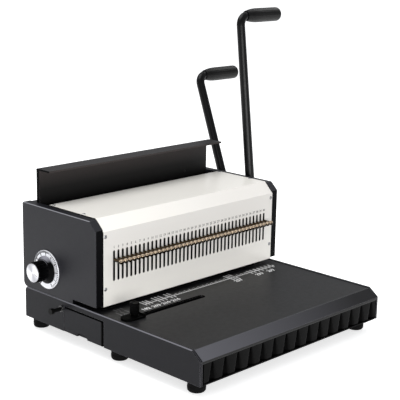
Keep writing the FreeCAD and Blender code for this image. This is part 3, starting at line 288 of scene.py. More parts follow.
# Front piece: a moulded black panel below the table's bevelled edge, clipped in between the sides. Fifteen flutes
# widen downwards in it and leave soft tongues between them, over a thin lip.
def skin(name, rings, body, coat, smooth=35, caps=True):
    """A mesh over a grid of points: rings[i, j] is point j of closed ring i, neighbours are joined by four-sided
    faces, and the first and the last ring are closed by a flat face. Further leading axes hold further copies."""
    rings = np.asarray(rings, float)
    rings = rings.reshape(-1, *rings.shape[-3:])
    copies, count, across = rings.shape[:3]
    index = np.arange(copies * count * across).reshape(copies, count, across)
    beside = np.roll(index, -1, axis=2)
    faces = np.stack([index[:, :-1], beside[:, :-1], beside[:, 1:], index[:, 1:]], axis=-1).reshape(-1, 4).tolist()
    if caps:
        faces += index[:, 0, ::-1].tolist() + index[:, -1].tolist()
    mesh = bpy.data.meshes.new(name)
    mesh.from_pydata(rings.reshape(-1, 3), [], faces)
    shell = bmesh.new()
    shell.from_mesh(mesh)
    bmesh.ops.recalc_face_normals(shell, faces=shell.faces)
    shell.to_mesh(mesh)
    shell.free()
    mesh.shade_smooth()
    mesh.set_sharp_from_angle(angle=np.radians(smooth))
    mesh.materials.append(coat)
    piece = bpy.data.objects.new(name, mesh)
    scene.collection.objects.link(piece)
    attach(piece, body)
    return piece


(front_x0, front_y, front_z0), (front_x1, front_back, front_z1) = map(np.array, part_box("base_front"))
flute_count, flute_reach = 15, 0.0086
first_flute, last_flute = front_x0 + 0.0170, front_x1 - 0.0106
flutes = np.linspace(first_flute, last_flute, flute_count)
near_flute = np.linspace(-1, 1, 25) ** 3 * flute_reach
front_x = np.sort(np.concatenate([[front_x0, front_x1], (flutes[:, None] + near_flute).ravel(),
                                  (flutes[:-1, None] + np.diff(flutes)[:, None] * [0.4, 0.5, 0.6]).ravel()]))
front_z = np.linspace(front_z0, front_z1, 49)
rise = (front_z - front_z0) / (front_z1 - front_z0)
away = np.abs(front_x[:, None] - flutes).min(axis=1)[:, None]


def flute_depth(away, rise):
    """How far the panel lies back: a valley 5.4 mm deep whose half width shrinks from 7.8 to 1.4 mm upwards, a swelling
    of 0.8 mm over each tongue, and a dark line 2 mm deep above the lip."""
    half_low, half_high, valley_deep, swelling, swelling_reach = 0.0078, 0.0014, 0.0054, 0.0008, 0.012
    lip_top, line_top, lip_deep, line_deep, run_out = 0.07, 0.12, 0.0002, 0.0022, 0.1
    half = half_low - (half_low - half_high) * rise
    valley = np.clip(1 - away / half, 0, 1) ** 0.8 * np.clip((1 - rise) / run_out, 0, 1)
    return np.where(rise < lip_top, lip_deep, np.where(rise < line_top, line_deep, 0) + valley_deep * valley
                    + swelling * (1 - np.clip(away / swelling_reach, 0, 1)) ** 2)


deepest = 0.0056
front_y_grid = front_y + np.minimum(flute_depth(away, rise[None]), deepest)
panel = np.stack([front_x[:, None] + 0 * front_y_grid, front_y_grid, 0 * front_y_grid + front_z], axis=-1)
rear = np.stack([np.repeat(front_x[:, None], 2, axis=1), np.full((len(front_x), 2), front_back),
                 np.tile([front_z1, front_z0], (len(front_x), 1))], axis=-1)
front_plastic = finish("ribbed_front_plastic", colour(6, 6, 6), 0.5, grain=0.0005, rise=0.00002, gloss=0.05)
# The panel is painted darker with depth behind its face, as painted shade in the flutes and the line over the lip.
tint(front_plastic, colour(1, 1, 1), ("Object", "Y", front_y + 0.0008, front_y + 0.0024))
fluted = skin("fluted_front", np.concatenate([panel, rear], axis=1), "frame", front_plastic, 50)
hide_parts("base_front")


# Feet: six moulded rubber buffers screwed under the pan, wider above than on the floor, with a moulding line
# half way up.
def rounded(corners, radius, steps=4):
    """A line with its inner corners rounded: each becomes a quadratic curve between the points radius before and
    after it."""
    p = np.array(corners, float)
    back, on = p[:-2] - p[1:-1], p[2:] - p[1:-1]
    far = np.linalg.norm(back, axis=1), np.linalg.norm(on, axis=1)
    reach = np.minimum(radius, 0.48 * np.minimum(*far))
    a = (p[1:-1] + back * (reach / far[0])[:, None])[:, None]
    b = (p[1:-1] + on * (reach / far[1])[:, None])[:, None]
    s = np.linspace(0, 1, steps + 1)[None, :, None]
    curve = (1 - s) ** 2 * a + 2 * s * (1 - s) * p[1:-1, None] + s ** 2 * b
    return np.vstack([p[:1], curve.reshape(-1, p.shape[1]), p[-1:]])


def turned(profile, centre, axis, sides=48, wave=None):
    """A profile of (radius, height) points carried round an axis: each point goes to centre + radius (cos a, sin a)
    across the axis + height along it. wave(a, height) scales the radius, for flutes and knurls."""
    profile = np.array(profile, float)
    a = np.linspace(0, 2 * np.pi, sides, endpoint=False)
    along = np.array({"X": (1, 0, 0), "Y": (0, 1, 0), "Z": (0, 0, 1)}[axis], float)
    u = np.roll(along, 1)
    v = np.cross(along, u)
    across = np.cos(a)[:, None] * u + np.sin(a)[:, None] * v
    radius, height = profile[:, 0, None], profile[:, 1, None]
    radius = radius * np.ones_like(a) if wave is None else radius * wave(a[None], height)
    return np.array(centre) + radius[..., None] * across + height[..., None] * along


foot_low, foot_high = map(np.array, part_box("rubber_feet"))
foot_tall, foot_out, foot_step = foot_high[2] - foot_low[2], 0.0133, 0.157
foot_profile = rounded([(0.0002, 0.0012), (0.0050, 0.0012), (0.0050, 0), (0.0112, 0), (0.0130, 0.0024),
                        (foot_out, 0.0075), (foot_out - 0.0004, 0.0080), (foot_out - 0.0004, foot_tall),
                        (0.0002, foot_tall)], 0.0009)
foot_x = [foot_low[0] + foot_out, foot_high[0] - foot_out]
foot_y = [foot_low[1] + foot_out, foot_low[1] + foot_out + foot_step, foot_high[1] - foot_out]
foot_rubber = finish("foot_rubber", colour(6, 6, 6), 0.72, grain=0.0012, rise=0.00004, soft=0.0004, gloss=0.1)
feet = skin("rubber_buffers", [turned(foot_profile, (x, y, 0), "Z", 36) for x in foot_x for y in foot_y],
            "frame", foot_rubber)
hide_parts("rubber_feet")


# Upper side plates: two thick pressed end plates in the same black powder coat, bolted to the base's sides, with a
# rolled outer edge. The open corner at the front leaves room for the paper over the table.
# The rims and sharp edges carry painted highlights, and the faces turned forward carry painted shade.
plate_powder = finish("plate_powder_coat", colour(22, 22, 28), 0.46, grain=0.0009, rise=0.00004,
                      edge_highlight=colour(100, 100, 104), gloss=0.27)
tint(plate_powder, colour(130, 130, 136), *lit_rim)
tint(plate_powder, colour(10, 10, 12), ("Normal", "Y", -0.9, -0.99))
paint(plate_powder, "side_plate_left", "side_plate_right")


# Covers: one folded steel sheet in smooth white enamel closes the top and the front. The tongues that it is screwed to
# and the plain rear sheet are black.
white_enamel = finish("white_enamel", colour(239, 236, 229), 0.30, grain=0.004, rise=0.000012, cloud=0.012, vary=0.1,
                      clear=0.25, soft=0.0014)
# The slots' walls and the sheet's end edges carry painted shade. The front carries painted shade that grows toward
# its top and toward the right.
painted_enamel_shade = colour(218, 215, 210)
tint(white_enamel, colour(9, 9, 9), ("Normal", "Y", 0.6, 0.4, True), ("Normal", "Z", 0.95, 0.85, True))
tint(white_enamel, painted_enamel_shade, ("Normal", "Y", -0.85, -0.95), ("Object", "Z", 0.09, 0.165))
tint(white_enamel, painted_enamel_shade, ("Normal", "Y", -0.3, -0.6), ("Object", "Z", 0.06, 0.17), ("Object", "X", -0.30, 0.04))
paint(white_enamel, "front_cover")
paint(black_powder, "cover_strips", "rear_cover")


# Cover screws: eight zinc plated pan head screws with a cross recess, four in the front of the cover and four on
# its top.
def cross_screw(centre, axis, sign=1, half=0.0029, tall=0.0009):
    """A screw head: over radius r and angle a its height is a flattened dome, tall (1 - (r/half)^3), less a recess
    where |sin 2a| r is small, which leaves a cross."""
    r = half * np.array([1.0, 1.0, 0.94, 0.84, 0.72, 0.6, 0.5, 0.4, 0.3, 0.2, 0.1, 0.03])[:, None]
    a = np.linspace(0, 2 * np.pi, 48, endpoint=False)[None]
    edge_tall, recess, arm_half, arm_reach = 0.0002, 0.0008, 0.28 * half, 0.66 * half
    height = tall * (1 - (r / half) ** 3) + edge_tall
    arm = np.abs(np.sin(2 * a)) * r < arm_half
    height = np.where(arm & (r < arm_reach), height - recess, height)
    height[0] = 0
    along = np.array({"Y": (0, 1, 0), "Z": (0, 0, 1)}[axis], float) * sign
    u = np.array([1.0, 0, 0])
    v = np.cross(along, u)
    flat = r[..., None] * (np.cos(a)[..., None] * u + np.sin(a)[..., None] * v)
    return np.array(centre) + flat + height[..., None] * along


zinc = finish("zinc_plate", colour(168, 168, 170), 0.32, grain=0.0008, rise=0.00001, metal=1.0)
cover_low, cover_high = map(np.array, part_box("front_cover"))
screw_low, screw_high = map(np.array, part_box("cover_screws"))
screw_inset = 0.0024
screw_x = [screw_low[0] + screw_inset, screw_high[0] - screw_inset]
# The machine is measured from its centre plane, half way along the slots, and from its cover's outer front face.
centre_plane_x, cover_face_y = -0.0517, -0.01247
face_screw_z, top_screw_y = (0.0987, 0.1782), (0.119 + cover_face_y, 0.048 + cover_face_y)
face_screws = skin("cover_face_screws", [cross_screw((x, cover_low[1], z), "Y", -1) for x in screw_x
                                         for z in face_screw_z], "frame", zinc)
skin("cover_top_screws", [cross_screw((x, y, cover_high[2]), "Z") for x in screw_x for y in top_screw_y],
     "frame", zinc)
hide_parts("cover_screws")


# Slot numbers: the numbers 1 to 40 stand over the forty slots of the cover, printed in small black figures, one for
# each punching pin.
def printed(name, words, body, ink, bold=0.0):
    """Flat lettering as one mesh. Each word is (text, height, place of its middle, direction of reading, up)."""
    whole = bmesh.new()
    for text, height, place, reading, up in words:
        font = bpy.data.curves.new(name, "FONT")
        font.body, font.size = text, 1.0
        font.align_x, font.align_y, font.offset = "CENTER", "CENTER", bold
        font.resolution_u = 1
        holder = bpy.data.objects.new(name + "_text", font)
        flat = bpy.data.meshes.new_from_object(holder)
        across, rise = np.array(reading, float), np.array(up, float)
        seat = np.eye(4)
        seat[:3, :3] = np.stack([across, rise, np.cross(across, rise)], axis=-1) * height
        seat[:3, 3] = place
        flat.transform(Matrix(seat))
        whole.from_mesh(flat)
        bpy.data.meshes.remove(flat)
        bpy.data.objects.remove(holder)
    mesh = bpy.data.meshes.new(name)
    whole.to_mesh(mesh)
    whole.free()
    mesh.materials.append(ink)
    piece = bpy.data.objects.new(name, mesh)
    scene.collection.objects.link(piece)
    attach(piece, body)
    return piece


black_ink = finish("black_ink", colour(44, 44, 44), 0.6, grain=0.0005, rise=0.000004, cloud=0.15, gloss=0.3)
slot_count, slot_pitch = 40, 0.0254 / 3
slot_x = (np.arange(1, slot_count + 1) - (slot_count + 1) / 2) * slot_pitch + centre_plane_x
figure_tall, figure_z, ink_lift = 0.0052, 0.1598, 0.00008
printed("slot_numbers", [(str(k + 1), figure_tall, (x, cover_low[1] - ink_lift, figure_z), (1, 0, 0), (0, 0, 1))
                         for k, x in enumerate(slot_x)], "frame", black_ink, 0.02)


# Punching tool: a drilled die under the throat, a guide plate over it, and a ram bar that carries forty square punches
# down two posts. All of it is tool steel, ground bright or blackened in oil.
tool_steel = finish("ground_steel", colour(150, 150, 152), 0.36, grain=0.0004, rise=0.000012, metal=1.0,
                    stretch=(0.05, 1, 1))
# The blackened steel's sharp edges carry a patchy painted highlight.
black_steel = finish("oiled_black_steel", colour(13, 13, 12), 0.5, grain=0.0006, rise=0.00001,
                     edge_highlight=colour(60, 58, 55), gloss=0.25)
paint(tool_steel, "guide_posts", "punch_cams", "punch_shaft", "closing_shaft")
paint(black_steel, "die_block", "punch_guide", "ram_bar", "punches", "closing_cranks", "lift_brackets",
      "bar_guides", "drawer_runners", "guide_nut", "depth_stop")
bronze = finish("bush_bronze", colour(150, 112, 62), 0.4, grain=0.0006, rise=0.00001, metal=1.0)
paint(bronze, "shaft_bushes")


# Ram springs: two coil springs on the guide posts lift the ram. They are wound from round spring wire with closed end
# turns.
def coiled(foot, head, radius, wire, turns, centre, sides=10, steps=260):
    """A wire of half thickness wire carried along a helix from height foot to head about a vertical line. The rise is
    slow over the first and last turn, so that the ends lie closed."""
    t = np.linspace(0, 1, steps)
    share = np.clip((t * turns - 1) / (turns - 2), 0, 1)
    end_rise = 1.89 * wire
    height = foot + wire + np.minimum(t * turns, 1) * end_rise + share * (head - foot - 2 * wire - 2 * end_rise)
    height = height + np.clip(t * turns - turns + 1, 0, 1) * end_rise
    a = 2 * np.pi * turns * t
    out = np.stack([np.cos(a), np.sin(a), 0 * a], axis=-1)
    up = np.array([0, 0, 1])
    line = np.array([centre[0], centre[1], 0]) + radius * out + height[:, None] * up
    b = np.linspace(0, 2 * np.pi, sides, endpoint=False)[None, :, None]
    return line[:, None] + wire * (np.cos(b) * out[:, None] + np.sin(b) * up)


spring_low, spring_high = map(np.array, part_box("ram_springs"))
spring_y = (spring_low[1] + spring_high[1]) / 2
coil_radius, wire_half, coil_turns, coil_inset = 0.0044, 0.00045, 12, 0.0047
spring_wire = finish("spring_wire", colour(120, 120, 124), 0.3, grain=0.0005, rise=0.000006, metal=1.0)
springs = skin("coil_springs", [coiled(spring_low[2], spring_high[2], coil_radius, wire_half, coil_turns, (x, spring_y))
                                for x in (spring_low[0] + coil_inset, spring_high[0] - coil_inset)],
               "frame", spring_wire)
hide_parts("ram_springs")
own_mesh(springs)


# Punching pins: forty turned brass pins stand out through the slots, one in each punch. Each has a slim shank and a
# small domed button, and pulled out it leaves its punch idle.
brass = finish("turned_brass", colour(212, 192, 168), 0.16, grain=0.0004, rise=0.000006, cloud=0.1, metal=1.0)


def middle(node):
    """The middle of a CAD node's box."""
    low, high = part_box(node)
    return np.array((low + high) / 2)


def brass_pin(x, face, tip, high):
    """A pin from the punch at depth face to its domed tip, with a thicker neck where it stands out of the cover."""
    middle_r, shank_r, neck_r, button_r, outside = 0.00005, 0.00135, 0.0027, 0.0037, cover_low[1] - 0.0008
    profile = rounded([(middle_r, face), (shank_r, face), (shank_r, outside + 0.0002), (neck_r, outside),
                       (neck_r, tip + 0.0046), (0.0034, tip + 0.0046), (button_r, tip + 0.0042),
                       (button_r, tip + 0.0013), (0.0028, tip + 0.0002), (middle_r, tip)], 0.0004, 3)
    return turned(profile, (x, 0, high), "Y", 14)


pin_high = middle("pull_pins")[2]
pin_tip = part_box("pull_pins")[0][1]
pin_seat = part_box("pull_pins")[1][1]
loose = [1, 24, 33, 35]
fixed_pins = skin("brass_pins", [brass_pin(x, pin_seat, pin_tip, pin_high) for k, x in enumerate(slot_x)
                                 if k + 1 not in loose], "ram", brass)
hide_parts("pull_pins")
# Painted shade: the necks are darkened as if in the buttons' shade, and all undersides are painted dark.
tint(brass, colour(84, 68, 48), ("Object", "Y", pin_tip + 0.0044, pin_tip + 0.0050))
tint(brass, colour(28, 22, 12), ("Normal", "Z", 0.3, 0.02))
for k in loose:
    node = "pull_pin_%02d" % k
    pin = skin("brass_pin_%02d" % k, brass_pin(slot_x[k - 1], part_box(node)[1][1], pin_tip, pin_high), "pin_%02d" % k,
               brass)
    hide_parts(node)


# Levers: two round steel bars, satin black, each welded in a hub on the end of its shaft and bent over at the top,
# where a moulded grip is pushed on.
def swept(line, radius, up, sides=28):
    """A round bar along a line in a plane: each point carries a ring of that radius, spanned by the plane's normal up
    and the line's own side direction."""
    line = np.array(line, float)
    run = np.gradient(line, axis=0)
    run /= np.linalg.norm(run, axis=1)[:, None]
    side = np.cross(run, up)
    a = np.linspace(0, 2 * np.pi, sides, endpoint=False)[None, :, None]
    return line[:, None] + np.reshape(radius, (-1, 1, 1)) * (np.cos(a) * side[:, None] + np.sin(a) * np.array(up))


lever_satin = finish("lever_satin_black", colour(6, 6, 7), 0.3, grain=0.0007, rise=0.00001, cloud=0.1, gloss=0.2)
grip_mould = finish("grip_soft_mould", colour(7, 7, 7), 0.42, grain=0.0010, rise=0.00006, cloud=0.08, gloss=0.2)
hub_profile = rounded([(0.0071, -0.008), (0.0135, -0.008), (0.015, -0.0068), (0.015, 0.0068), (0.0135, 0.008),
                       (0.0071, 0.008)], 0.0008)
bend, bar_from, inside_grip = 0.016, 0.012, 0.006
rib_count, rib_deep = 24, 0.022
outward = np.array([1.0, 0, 0])
finger = np.linspace(0, 2 * np.pi, 96, endpoint=False)
for tag, axis_y, axis_z, lean, rod_x, reach, grip_from, grip_to, thick_low, thick_high in (
        ("punch", 0.0692, 0.1322, 6.69, 0.2140, 0.3403, 0.2280, 0.3100, 0.0081, 0.0072),
        ("closing", 0.1341, 0.1122, 20.56, 0.2350, 0.2601, 0.2490, 0.3310, 0.0079, 0.0074)):
    lean = np.radians(lean)
    back, normal = np.array([0, np.sin(lean), np.cos(lean)]), np.array([0, -np.cos(lean), np.sin(lean)])
    root = np.array([rod_x + centre_plane_x, axis_y + cover_face_y, axis_z])
    # The bar runs up its length t, turns outward in a quarter circle and ends inside the grip.
    straight = np.linspace(bar_from, reach - bend, 12)
    curve = np.radians(np.linspace(0, 90, 17)[1:])
    level_run = np.linspace(bend, grip_to - rod_x - inside_grip, 5)[1:]
    run_x = np.concatenate([0 * straight, bend - bend * np.cos(curve), level_run])
    run_t = np.concatenate([straight, reach - bend + bend * np.sin(curve), np.full(len(level_run), reach)])
    thick = np.interp(run_t, (0, reach - bend), (thick_low, thick_high))
    rod = skin(tag + "_lever_bar", swept(root + run_x[:, None] * outward + run_t[:, None] * back, thick, normal),
               tag + "_lever", lever_satin)
    skin(tag + "_lever_hub", turned(hub_profile, root, "X", 48), tag + "_lever", lever_satin)
    # The grip's radius r at the distance s from its inner end: a slim collar, a full barrel and a domed end.
    long = grip_to - grip_from
    s = np.array([0, 0.002, 0.004, 0.008, 0.012, 0.017, 0.024, 0.034, 0.045, 0.056, long - 0.007, long - 0.005,
                  long - 0.0034, long - 0.0020, long - 0.0010, long - 0.0003, long])
    r = np.array([0.0086, 0.0092, 0.0096, 0.0104, 0.0111, 0.0117, 0.0121, 0.0122, 0.0121, 0.0121, 0.0121, 0.0120,
                  0.0117, 0.0110, 0.0098, 0.0082, 0.0002])
    ribbed = ((s > 0.016) & (s < long - 0.011))[:, None]
    ribs = 1 - rib_deep * (np.cos(rib_count * finger)[None] > 0.2) * ribbed
    centre = root + (grip_from - rod_x + s)[:, None] * outward + reach * back
    ring = np.cos(finger)[:, None] * back + np.sin(finger)[:, None] * normal
    grip = skin(tag + "_lever_handgrip", centre[:, None] + (r[:, None] * ribs)[..., None] * ring[None],
                tag + "_lever", grip_mould)
    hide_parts(tag + "_lever_rod")
    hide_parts(tag + "_lever_grip")


# Closing bar: an angle of black coated steel behind the cover, lowered on to the wire by the rear lever. Its flange
# points forward over the white top, and a fixed anvil lies in front of its web.
# The coat's sharp edges carry a patchy painted highlight.
bar_coat = finish("closing_bar_coat", colour(14, 13, 13), 0.48, grain=0.0008, rise=0.00003, edge_highlight=colour(90, 90, 92),
                  gloss=0.18)
# The flange's top carries a painted highlight, the web a painted reflection that grows toward its top, and the left
# end painted shade.
tint(bar_coat, colour(42, 40, 41), ("Normal", "Z", 0.4, 0.6))
tint(bar_coat, colour(50, 45, 44), ("Normal", "Y", -0.8, -0.95), ("Object", "Z", 0.222, 0.252))
tint(bar_coat, colour(4, 4, 4), ("Normal", "X", -0.8, -0.95))
paint(bar_coat, "closing_bar", "closing_anvil")
web_face = float(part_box("closing_anvil")[1][1]) + 0.0023
web_screw_at, web_screw_half = (0.0741, web_face, 0.2077), 0.0022
skin("web_screw", cross_screw(web_screw_at, "Y", -1, web_screw_half), "closing_press", black_steel)


# Closing dial: a satin aluminium scale ring on the left plate, and a black moulded knob with fine flutes, a wide
# skirt and a spun aluminium cap.
dial_low, dial_high = map(np.array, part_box("dial_plate"))
dial_at = (dial_low + dial_high) / 2
dial_bore = 0.0041
scale_metal = finish("scale_ring_aluminium", colour(238, 239, 243), 0.42, grain=0.0008, rise=0.00001, cloud=0.03,
                     metal=0.35)
ring_profile = rounded([(dial_bore, 0), (0.0296, 0), (0.0300, -0.0004), (0.0300, -0.0016), (0.0296, -0.0020),
                        (dial_bore, -0.0020)], 0.0003, 3)
ring_piece = skin("dial_scale_ring", turned(ring_profile, (dial_high[0], dial_at[1], dial_at[2]), "X", 96), "frame",
                  scale_metal)
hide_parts("dial_plate")
knob_black = finish("dial_knob_black", colour(2, 2, 3), 0.3, grain=0.0006, rise=0.00001, cloud=0.1, gloss=0.05)
knob_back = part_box("dial_knob")[1][0]
# The top of the skirt carries a painted highlight.
tint(knob_black, colour(150, 150, 158), ("Normal", "Z", 0.5, 0.7),
     ("Object", "X", knob_back - 0.0060, knob_back - 0.0054))
knob_seat = (knob_back, dial_at[1], dial_at[2])
knob_profile = rounded([(dial_bore, 0), (0.0216, 0), (0.0216, -0.0009), (0.0200, -0.0024), (0.0174, -0.0048),
                        (0.0160, -0.0056), (0.0156, -0.0226), (0.0150, -0.0242), (dial_bore, -0.0242)], 0.0005, 3)


def knob_flutes(a, height):
    """Eighteen round flutes round the knob's barrel, none on its skirt."""
    deep, ridge = 0.045, 0.55
    on_barrel = (height < -0.0058) & (height > -0.0232)
    return 1 - deep * np.clip(np.cos(18 * a) - ridge, 0, 1) / (1 - ridge) * on_barrel


knob = skin("dial_knob_fluted", turned(knob_profile, knob_seat, "X", 144, knob_flutes), "dial",
            knob_black)
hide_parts("dial_knob")
cap_low, cap_high = map(np.array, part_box("dial_cap"))
cap_metal = finish("cap_aluminium", colour(236, 236, 240), 0.34, grain=0.0006, rise=0.00002, cloud=0.05, metal=0.5)


def fans(tree, beams=2, shift=0.6, low=-0.2):
    """Painted light and dark reflection fans of a spun face: sin(beams angle + shift) round the cap's middle, as a
    number that goes from 0 where the sine is low to 1 where it is 1."""
    place, centred, parts = (tree.nodes.new("ShaderNode" + n) for n in ("TexCoord", "Mapping", "SeparateXYZ"))
    centred.inputs["Location"].default_value = -dial_at
    link(tree, place, "Object", centred, "Vector")
    link(tree, centred, 0, parts, 0)
    angle, times, wave, span = (tree.nodes.new("ShaderNode" + n) for n in ("Math", "Math", "Math", "MapRange"))
    angle.operation, times.operation, wave.operation = "ARCTAN2", "MULTIPLY_ADD", "SINE"
    link(tree, parts, "Y", angle, 0)
    link(tree, parts, "Z", angle, 1)
    times.inputs[1].default_value, times.inputs[2].default_value = beams, shift
    link(tree, angle, 0, times, 0)
    link(tree, times, 0, wave, 0)
    span.inputs["From Min"].default_value = low
    link(tree, wave, 0, span, "Value")
    return span


# The cap carries painted reflection fans.
tint(cap_metal, colour(184, 184, 189), fans)
# The cap's radius and height, from its rim over a raised border to the flat middle.
cap_r = np.array([0.0141, 0.0144, 0.0144, 0.0140, 0.0128, 0.0110, 0.0100, 0.0095, 0.0080, 0.0060, 0.0040, 0.0020,
                  0.0001])
cap_h = -np.array([0, 0.0002, 0.0010, 0.0013, 0.0014, 0.0014, 0.00136, 0.00134, 0.00133, 0.00132, 0.00131, 0.0013,
                   0.0013])
cap = skin("dial_cap_spun", turned(np.stack([cap_r, cap_h], axis=-1), (cap_high[0], dial_at[1], dial_at[2]), "X", 72),
           "dial", cap_metal)
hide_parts("dial_cap")


def strokes(name, lines, body, ink, lift):
    """Thin printed lines as one mesh. Each line is (start, end, width, lift direction): a flat four-sided strip on the
    surface, raised by lift."""
    lines = [(np.array(a, float), np.array(b, float), w, np.array(n, float)) for a, b, w, n in lines]
    corners = []
    for a, b, w, n in lines:
        side = np.cross(n, (b - a) / np.linalg.norm(b - a)) * w / 2
        corners.append(np.stack([a - side, b - side, b + side, a + side]) + n * lift)
    points = np.array(corners)
    faces = np.arange(len(lines) * 4).reshape(-1, 4)
    mesh = bpy.data.meshes.new(name)
    mesh.from_pydata(points.reshape(-1, 3), [], faces.tolist())
    mesh.materials.append(ink)
    piece = bpy.data.objects.new(name, mesh)
    scene.collection.objects.link(piece)
    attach(piece, body)
    return piece


# The scale runs 150 degrees to either side of the top. Its marks are thin toward the machine's front and broad over the
# rest.
scale_end = 150
tick_turn = np.radians(np.linspace(-scale_end, scale_end, 51))
tick_way = np.stack([0 * tick_turn, np.sin(tick_turn), np.cos(tick_turn)], axis=-1)
ring_middle = np.array([dial_low[0], dial_at[1], dial_at[2]])
dial_ink = finish("dial_ink", colour(20, 20, 22), 0.6, grain=0.0005, rise=0.000004, cloud=0.1, gloss=0.2)
tick_from, long_tick_from, tick_to = 0.0262, 0.0250, 0.0293
thin, broad, thin_ticks = 0.0011, 0.0022, 22
ticks = [(ring_middle + way * (tick_from if k % 5 else long_tick_from), ring_middle + way * tick_to,
          broad if k > thin_ticks else thin, (-1, 0, 0)) for k, way in enumerate(tick_way)]
strokes("dial_ticks", ticks, "frame", dial_ink, 0.00006)
number_turn = np.radians(np.linspace(-scale_end, scale_end, 11))
number_tall, number_r, number_lift = 0.0048, 0.0238, 0.00007
numbers = [(str(k), number_tall, ring_middle + np.array([-number_lift, number_r * np.sin(w), number_r * np.cos(w)]),
            (0, -np.cos(w), np.sin(w)), (0, np.sin(w), np.cos(w))) for k, w in enumerate(number_turn)]
printed("dial_numbers", numbers, "frame", dial_ink, 0.05)
cap_face = np.array([cap_low[0] + 0.0001, dial_at[1], dial_at[2]])
pointer = np.array([0, -0.97, -0.24])
index_from, index_to, index_wide = 0.004, 0.0136, 0.0009
index_grey = finish("index_grey", colour(170, 170, 174), 0.5, grain=0.0005, rise=0.000004, gloss=0.2)
strokes("cap_index", [(cap_face + pointer * index_from, cap_face + pointer * index_to, index_wide, (-1, 0, 0))], "dial",
        index_grey, 0.00006)
paint(black_steel, "dial_shaft")


# Margin screw: a short black screw with a hexagon nut sets the paper stop from the left side of the base.
thread_black = finish("margin_screw_black", colour(7, 7, 7), 0.5, grain=0.0005, rise=0.00002, gloss=0.1)
# The nut's sharp edges take painted glints.
nut_black = finish("margin_nut_black", colour(7, 7, 7), 0.16, grain=0.0005, rise=0.00001, gloss=0.6,
                   edge_highlight=colour(190, 190, 190))
paint(thread_black, "margin_screw")
paint(nut_black, "margin_nut")


# Chip drawer: a bent galvanised tray behind a flush powder coated face plate at the lower left. The face has a notch
# for a finger in its foot, and the drawer slides out on two runners.
drawer_powder = finish("drawer_powder_coat", colour(16, 16, 21), 0.46, grain=0.0009, rise=0.00004, gloss=0.17)
# The face's edges and a narrow strip at its front end carry painted shade, as black as the gap round it.
painted_gap_shade = colour(2, 2, 2)
tint(drawer_powder, painted_gap_shade, ("Normal", "X", 0.7, 0.3, True))
drawer_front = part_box("drawer_face")[0][1]
tint(drawer_powder, painted_gap_shade, ("Object", "Y", drawer_front + 0.0034, drawer_front + 0.0026))
paint(drawer_powder, "drawer_face")
galvanised = finish("galvanised_sheet", colour(150, 152, 155), 0.45, grain=0.006, rise=0.00001, cloud=0.12, metal=0.9)
paint(galvanised, "drawer_tray")


# Edge guide: a small black foot plate with a low fence slides in the table's slot and is clamped by a knurled knob.
guide_black = finish("guide_black", colour(4, 4, 4), 0.6, grain=0.0007, rise=0.00002, gloss=0.02)
paint(guide_black, "edge_guide")
guide_low, guide_high = map(np.array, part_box("guide_knob"))
knurl_mid = (guide_low + guide_high) / 2
knurl_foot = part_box("edge_guide")[1][2] - 0.0018
knurl_black = finish("knurled_knob_black", colour(4, 4, 4), 0.38, grain=0.0006, rise=0.00002, gloss=0.04)
knurl_profile = rounded([(0.0002, 0), (0.0058, 0), (0.0058, 0.0030), (0.0066, 0.0032), (0.0069, 0.0044),
                         (0.0069, 0.0186), (0.0064, 0.0199), (0.0050, 0.0200), (0.0045, 0.0194), (0.0002, 0.0194)],
                        0.0004, 3)


def knurl(a, height):
    """Thirty-two grooves down the knob's barrel, 5 % of its radius deep."""
    return 1 - 0.05 * (np.cos(32 * a) > 0) * ((height > 0.0043) & (height < 0.0188))


knurled = skin("knurled_knob", turned(knurl_profile, (knurl_mid[0], knurl_mid[1], knurl_foot), "Z", 128, knurl),
               "side_guide_knob", knurl_black)
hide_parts("guide_knob")


# Table print: a fine white rule is printed along the table in front of the slot row, with groups of longer marks and
# plain numbers for the paper sizes. A flat black strip of painted shade runs round the edge guide's track.
white_ink = finish("white_ink", colour(240, 240, 240), 0.6, grain=0.0005, rise=0.000004, cloud=0.1)
tint(white_ink, colour(120, 120, 120), ("Object", "X", -0.200, -0.204))
table_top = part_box("base_table")[1][2]


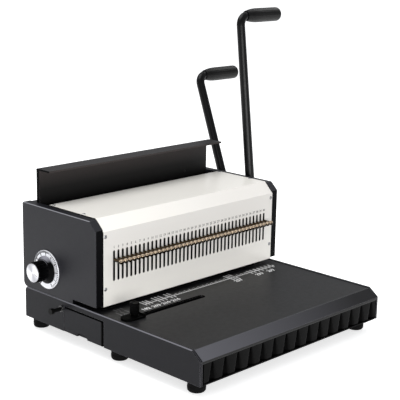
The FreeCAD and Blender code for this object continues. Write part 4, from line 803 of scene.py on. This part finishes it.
def on_table(x, y):
    """A point on the table, in millimetres from the machine's centre plane and from the cover's front face."""
    return np.array([x / 1000 + centre_plane_x, y / 1000 + cover_face_y, table_top])


rule_y, rule_from, rule_to, short_to, long_to = -17, -120, 176, -12.5, -10
rule = [(on_table(rule_from, rule_y), on_table(rule_to, rule_y), 0.0018, (0, 0, 1))]
rule += [(on_table(x, rule_y), on_table(x, short_to if k % 2 else long_to), 0.0009, (0, 0, 1))
         for k, x in enumerate(np.arange(rule_from, rule_to + 1, 5))]
rule += [(on_table(x, rear), on_table(x, front), wide, (0, 0, 1)) for spots, rear, front, wide in (
    ((-170, -164, -158), -4, -13, 0.0014), ((-176, -168, -159), -16, -30, 0.0016),
    ((-119, -113, -107), -4, -22, 0.0022), ((-93, -86, -79, -67, -60), -2, -24, 0.0020),
    ((68, 74, 80), -1, -28, 0.0020), ((116, 124, 133, 142, 151, 160, 169), -8, -24, 0.0022)) for x in spots]
strokes("table_rule", rule, "frame", white_ink, 0.0001)
size_tall, size_y, size_lift = 0.0110, -33, np.array([0, 0, 0.0001])
sizes = [(str(n), size_tall, on_table(x, size_y) + size_lift, (1, 0, 0), (0, 1, 0)) for n, x in (
    (148, -172), (182, -131), (203, -110), (210, -90), (216, -70), (257, 71), (279, 122), (297, 150))]
printed("table_numbers", sizes, "frame", white_ink, 0.04)
track_low, track_high, track_y = -175.4, -29.9, -48
slot_shade_coat = finish("track_painted_shade", colour(2, 2, 2), 0.8, grain=0.0006, rise=0.00001, gloss=0.0)
# Four lines round the track, each at a half width and a height over the table, make its painted shade.
end_turn = np.linspace(-np.pi / 2, np.pi / 2, 13)
half_turn = np.stack([np.cos(end_turn), np.sin(end_turn)], axis=-1)
shade_rings = []
for half, lift in ((2.75, 0.02), (2.75, 0.2), (5.6, 0.2), (5.8, 0.02)):
    ends = np.vstack([half_turn * half + [track_high, track_y], [track_low, track_y] - half_turn * half])
    shade_rings.append([on_table(x, y) + np.array([0, 0, lift / 1000]) for x, y in ends])
skin("track_shade_strip", shade_rings + shade_rings[:1], "frame", slot_shade_coat, caps=False)
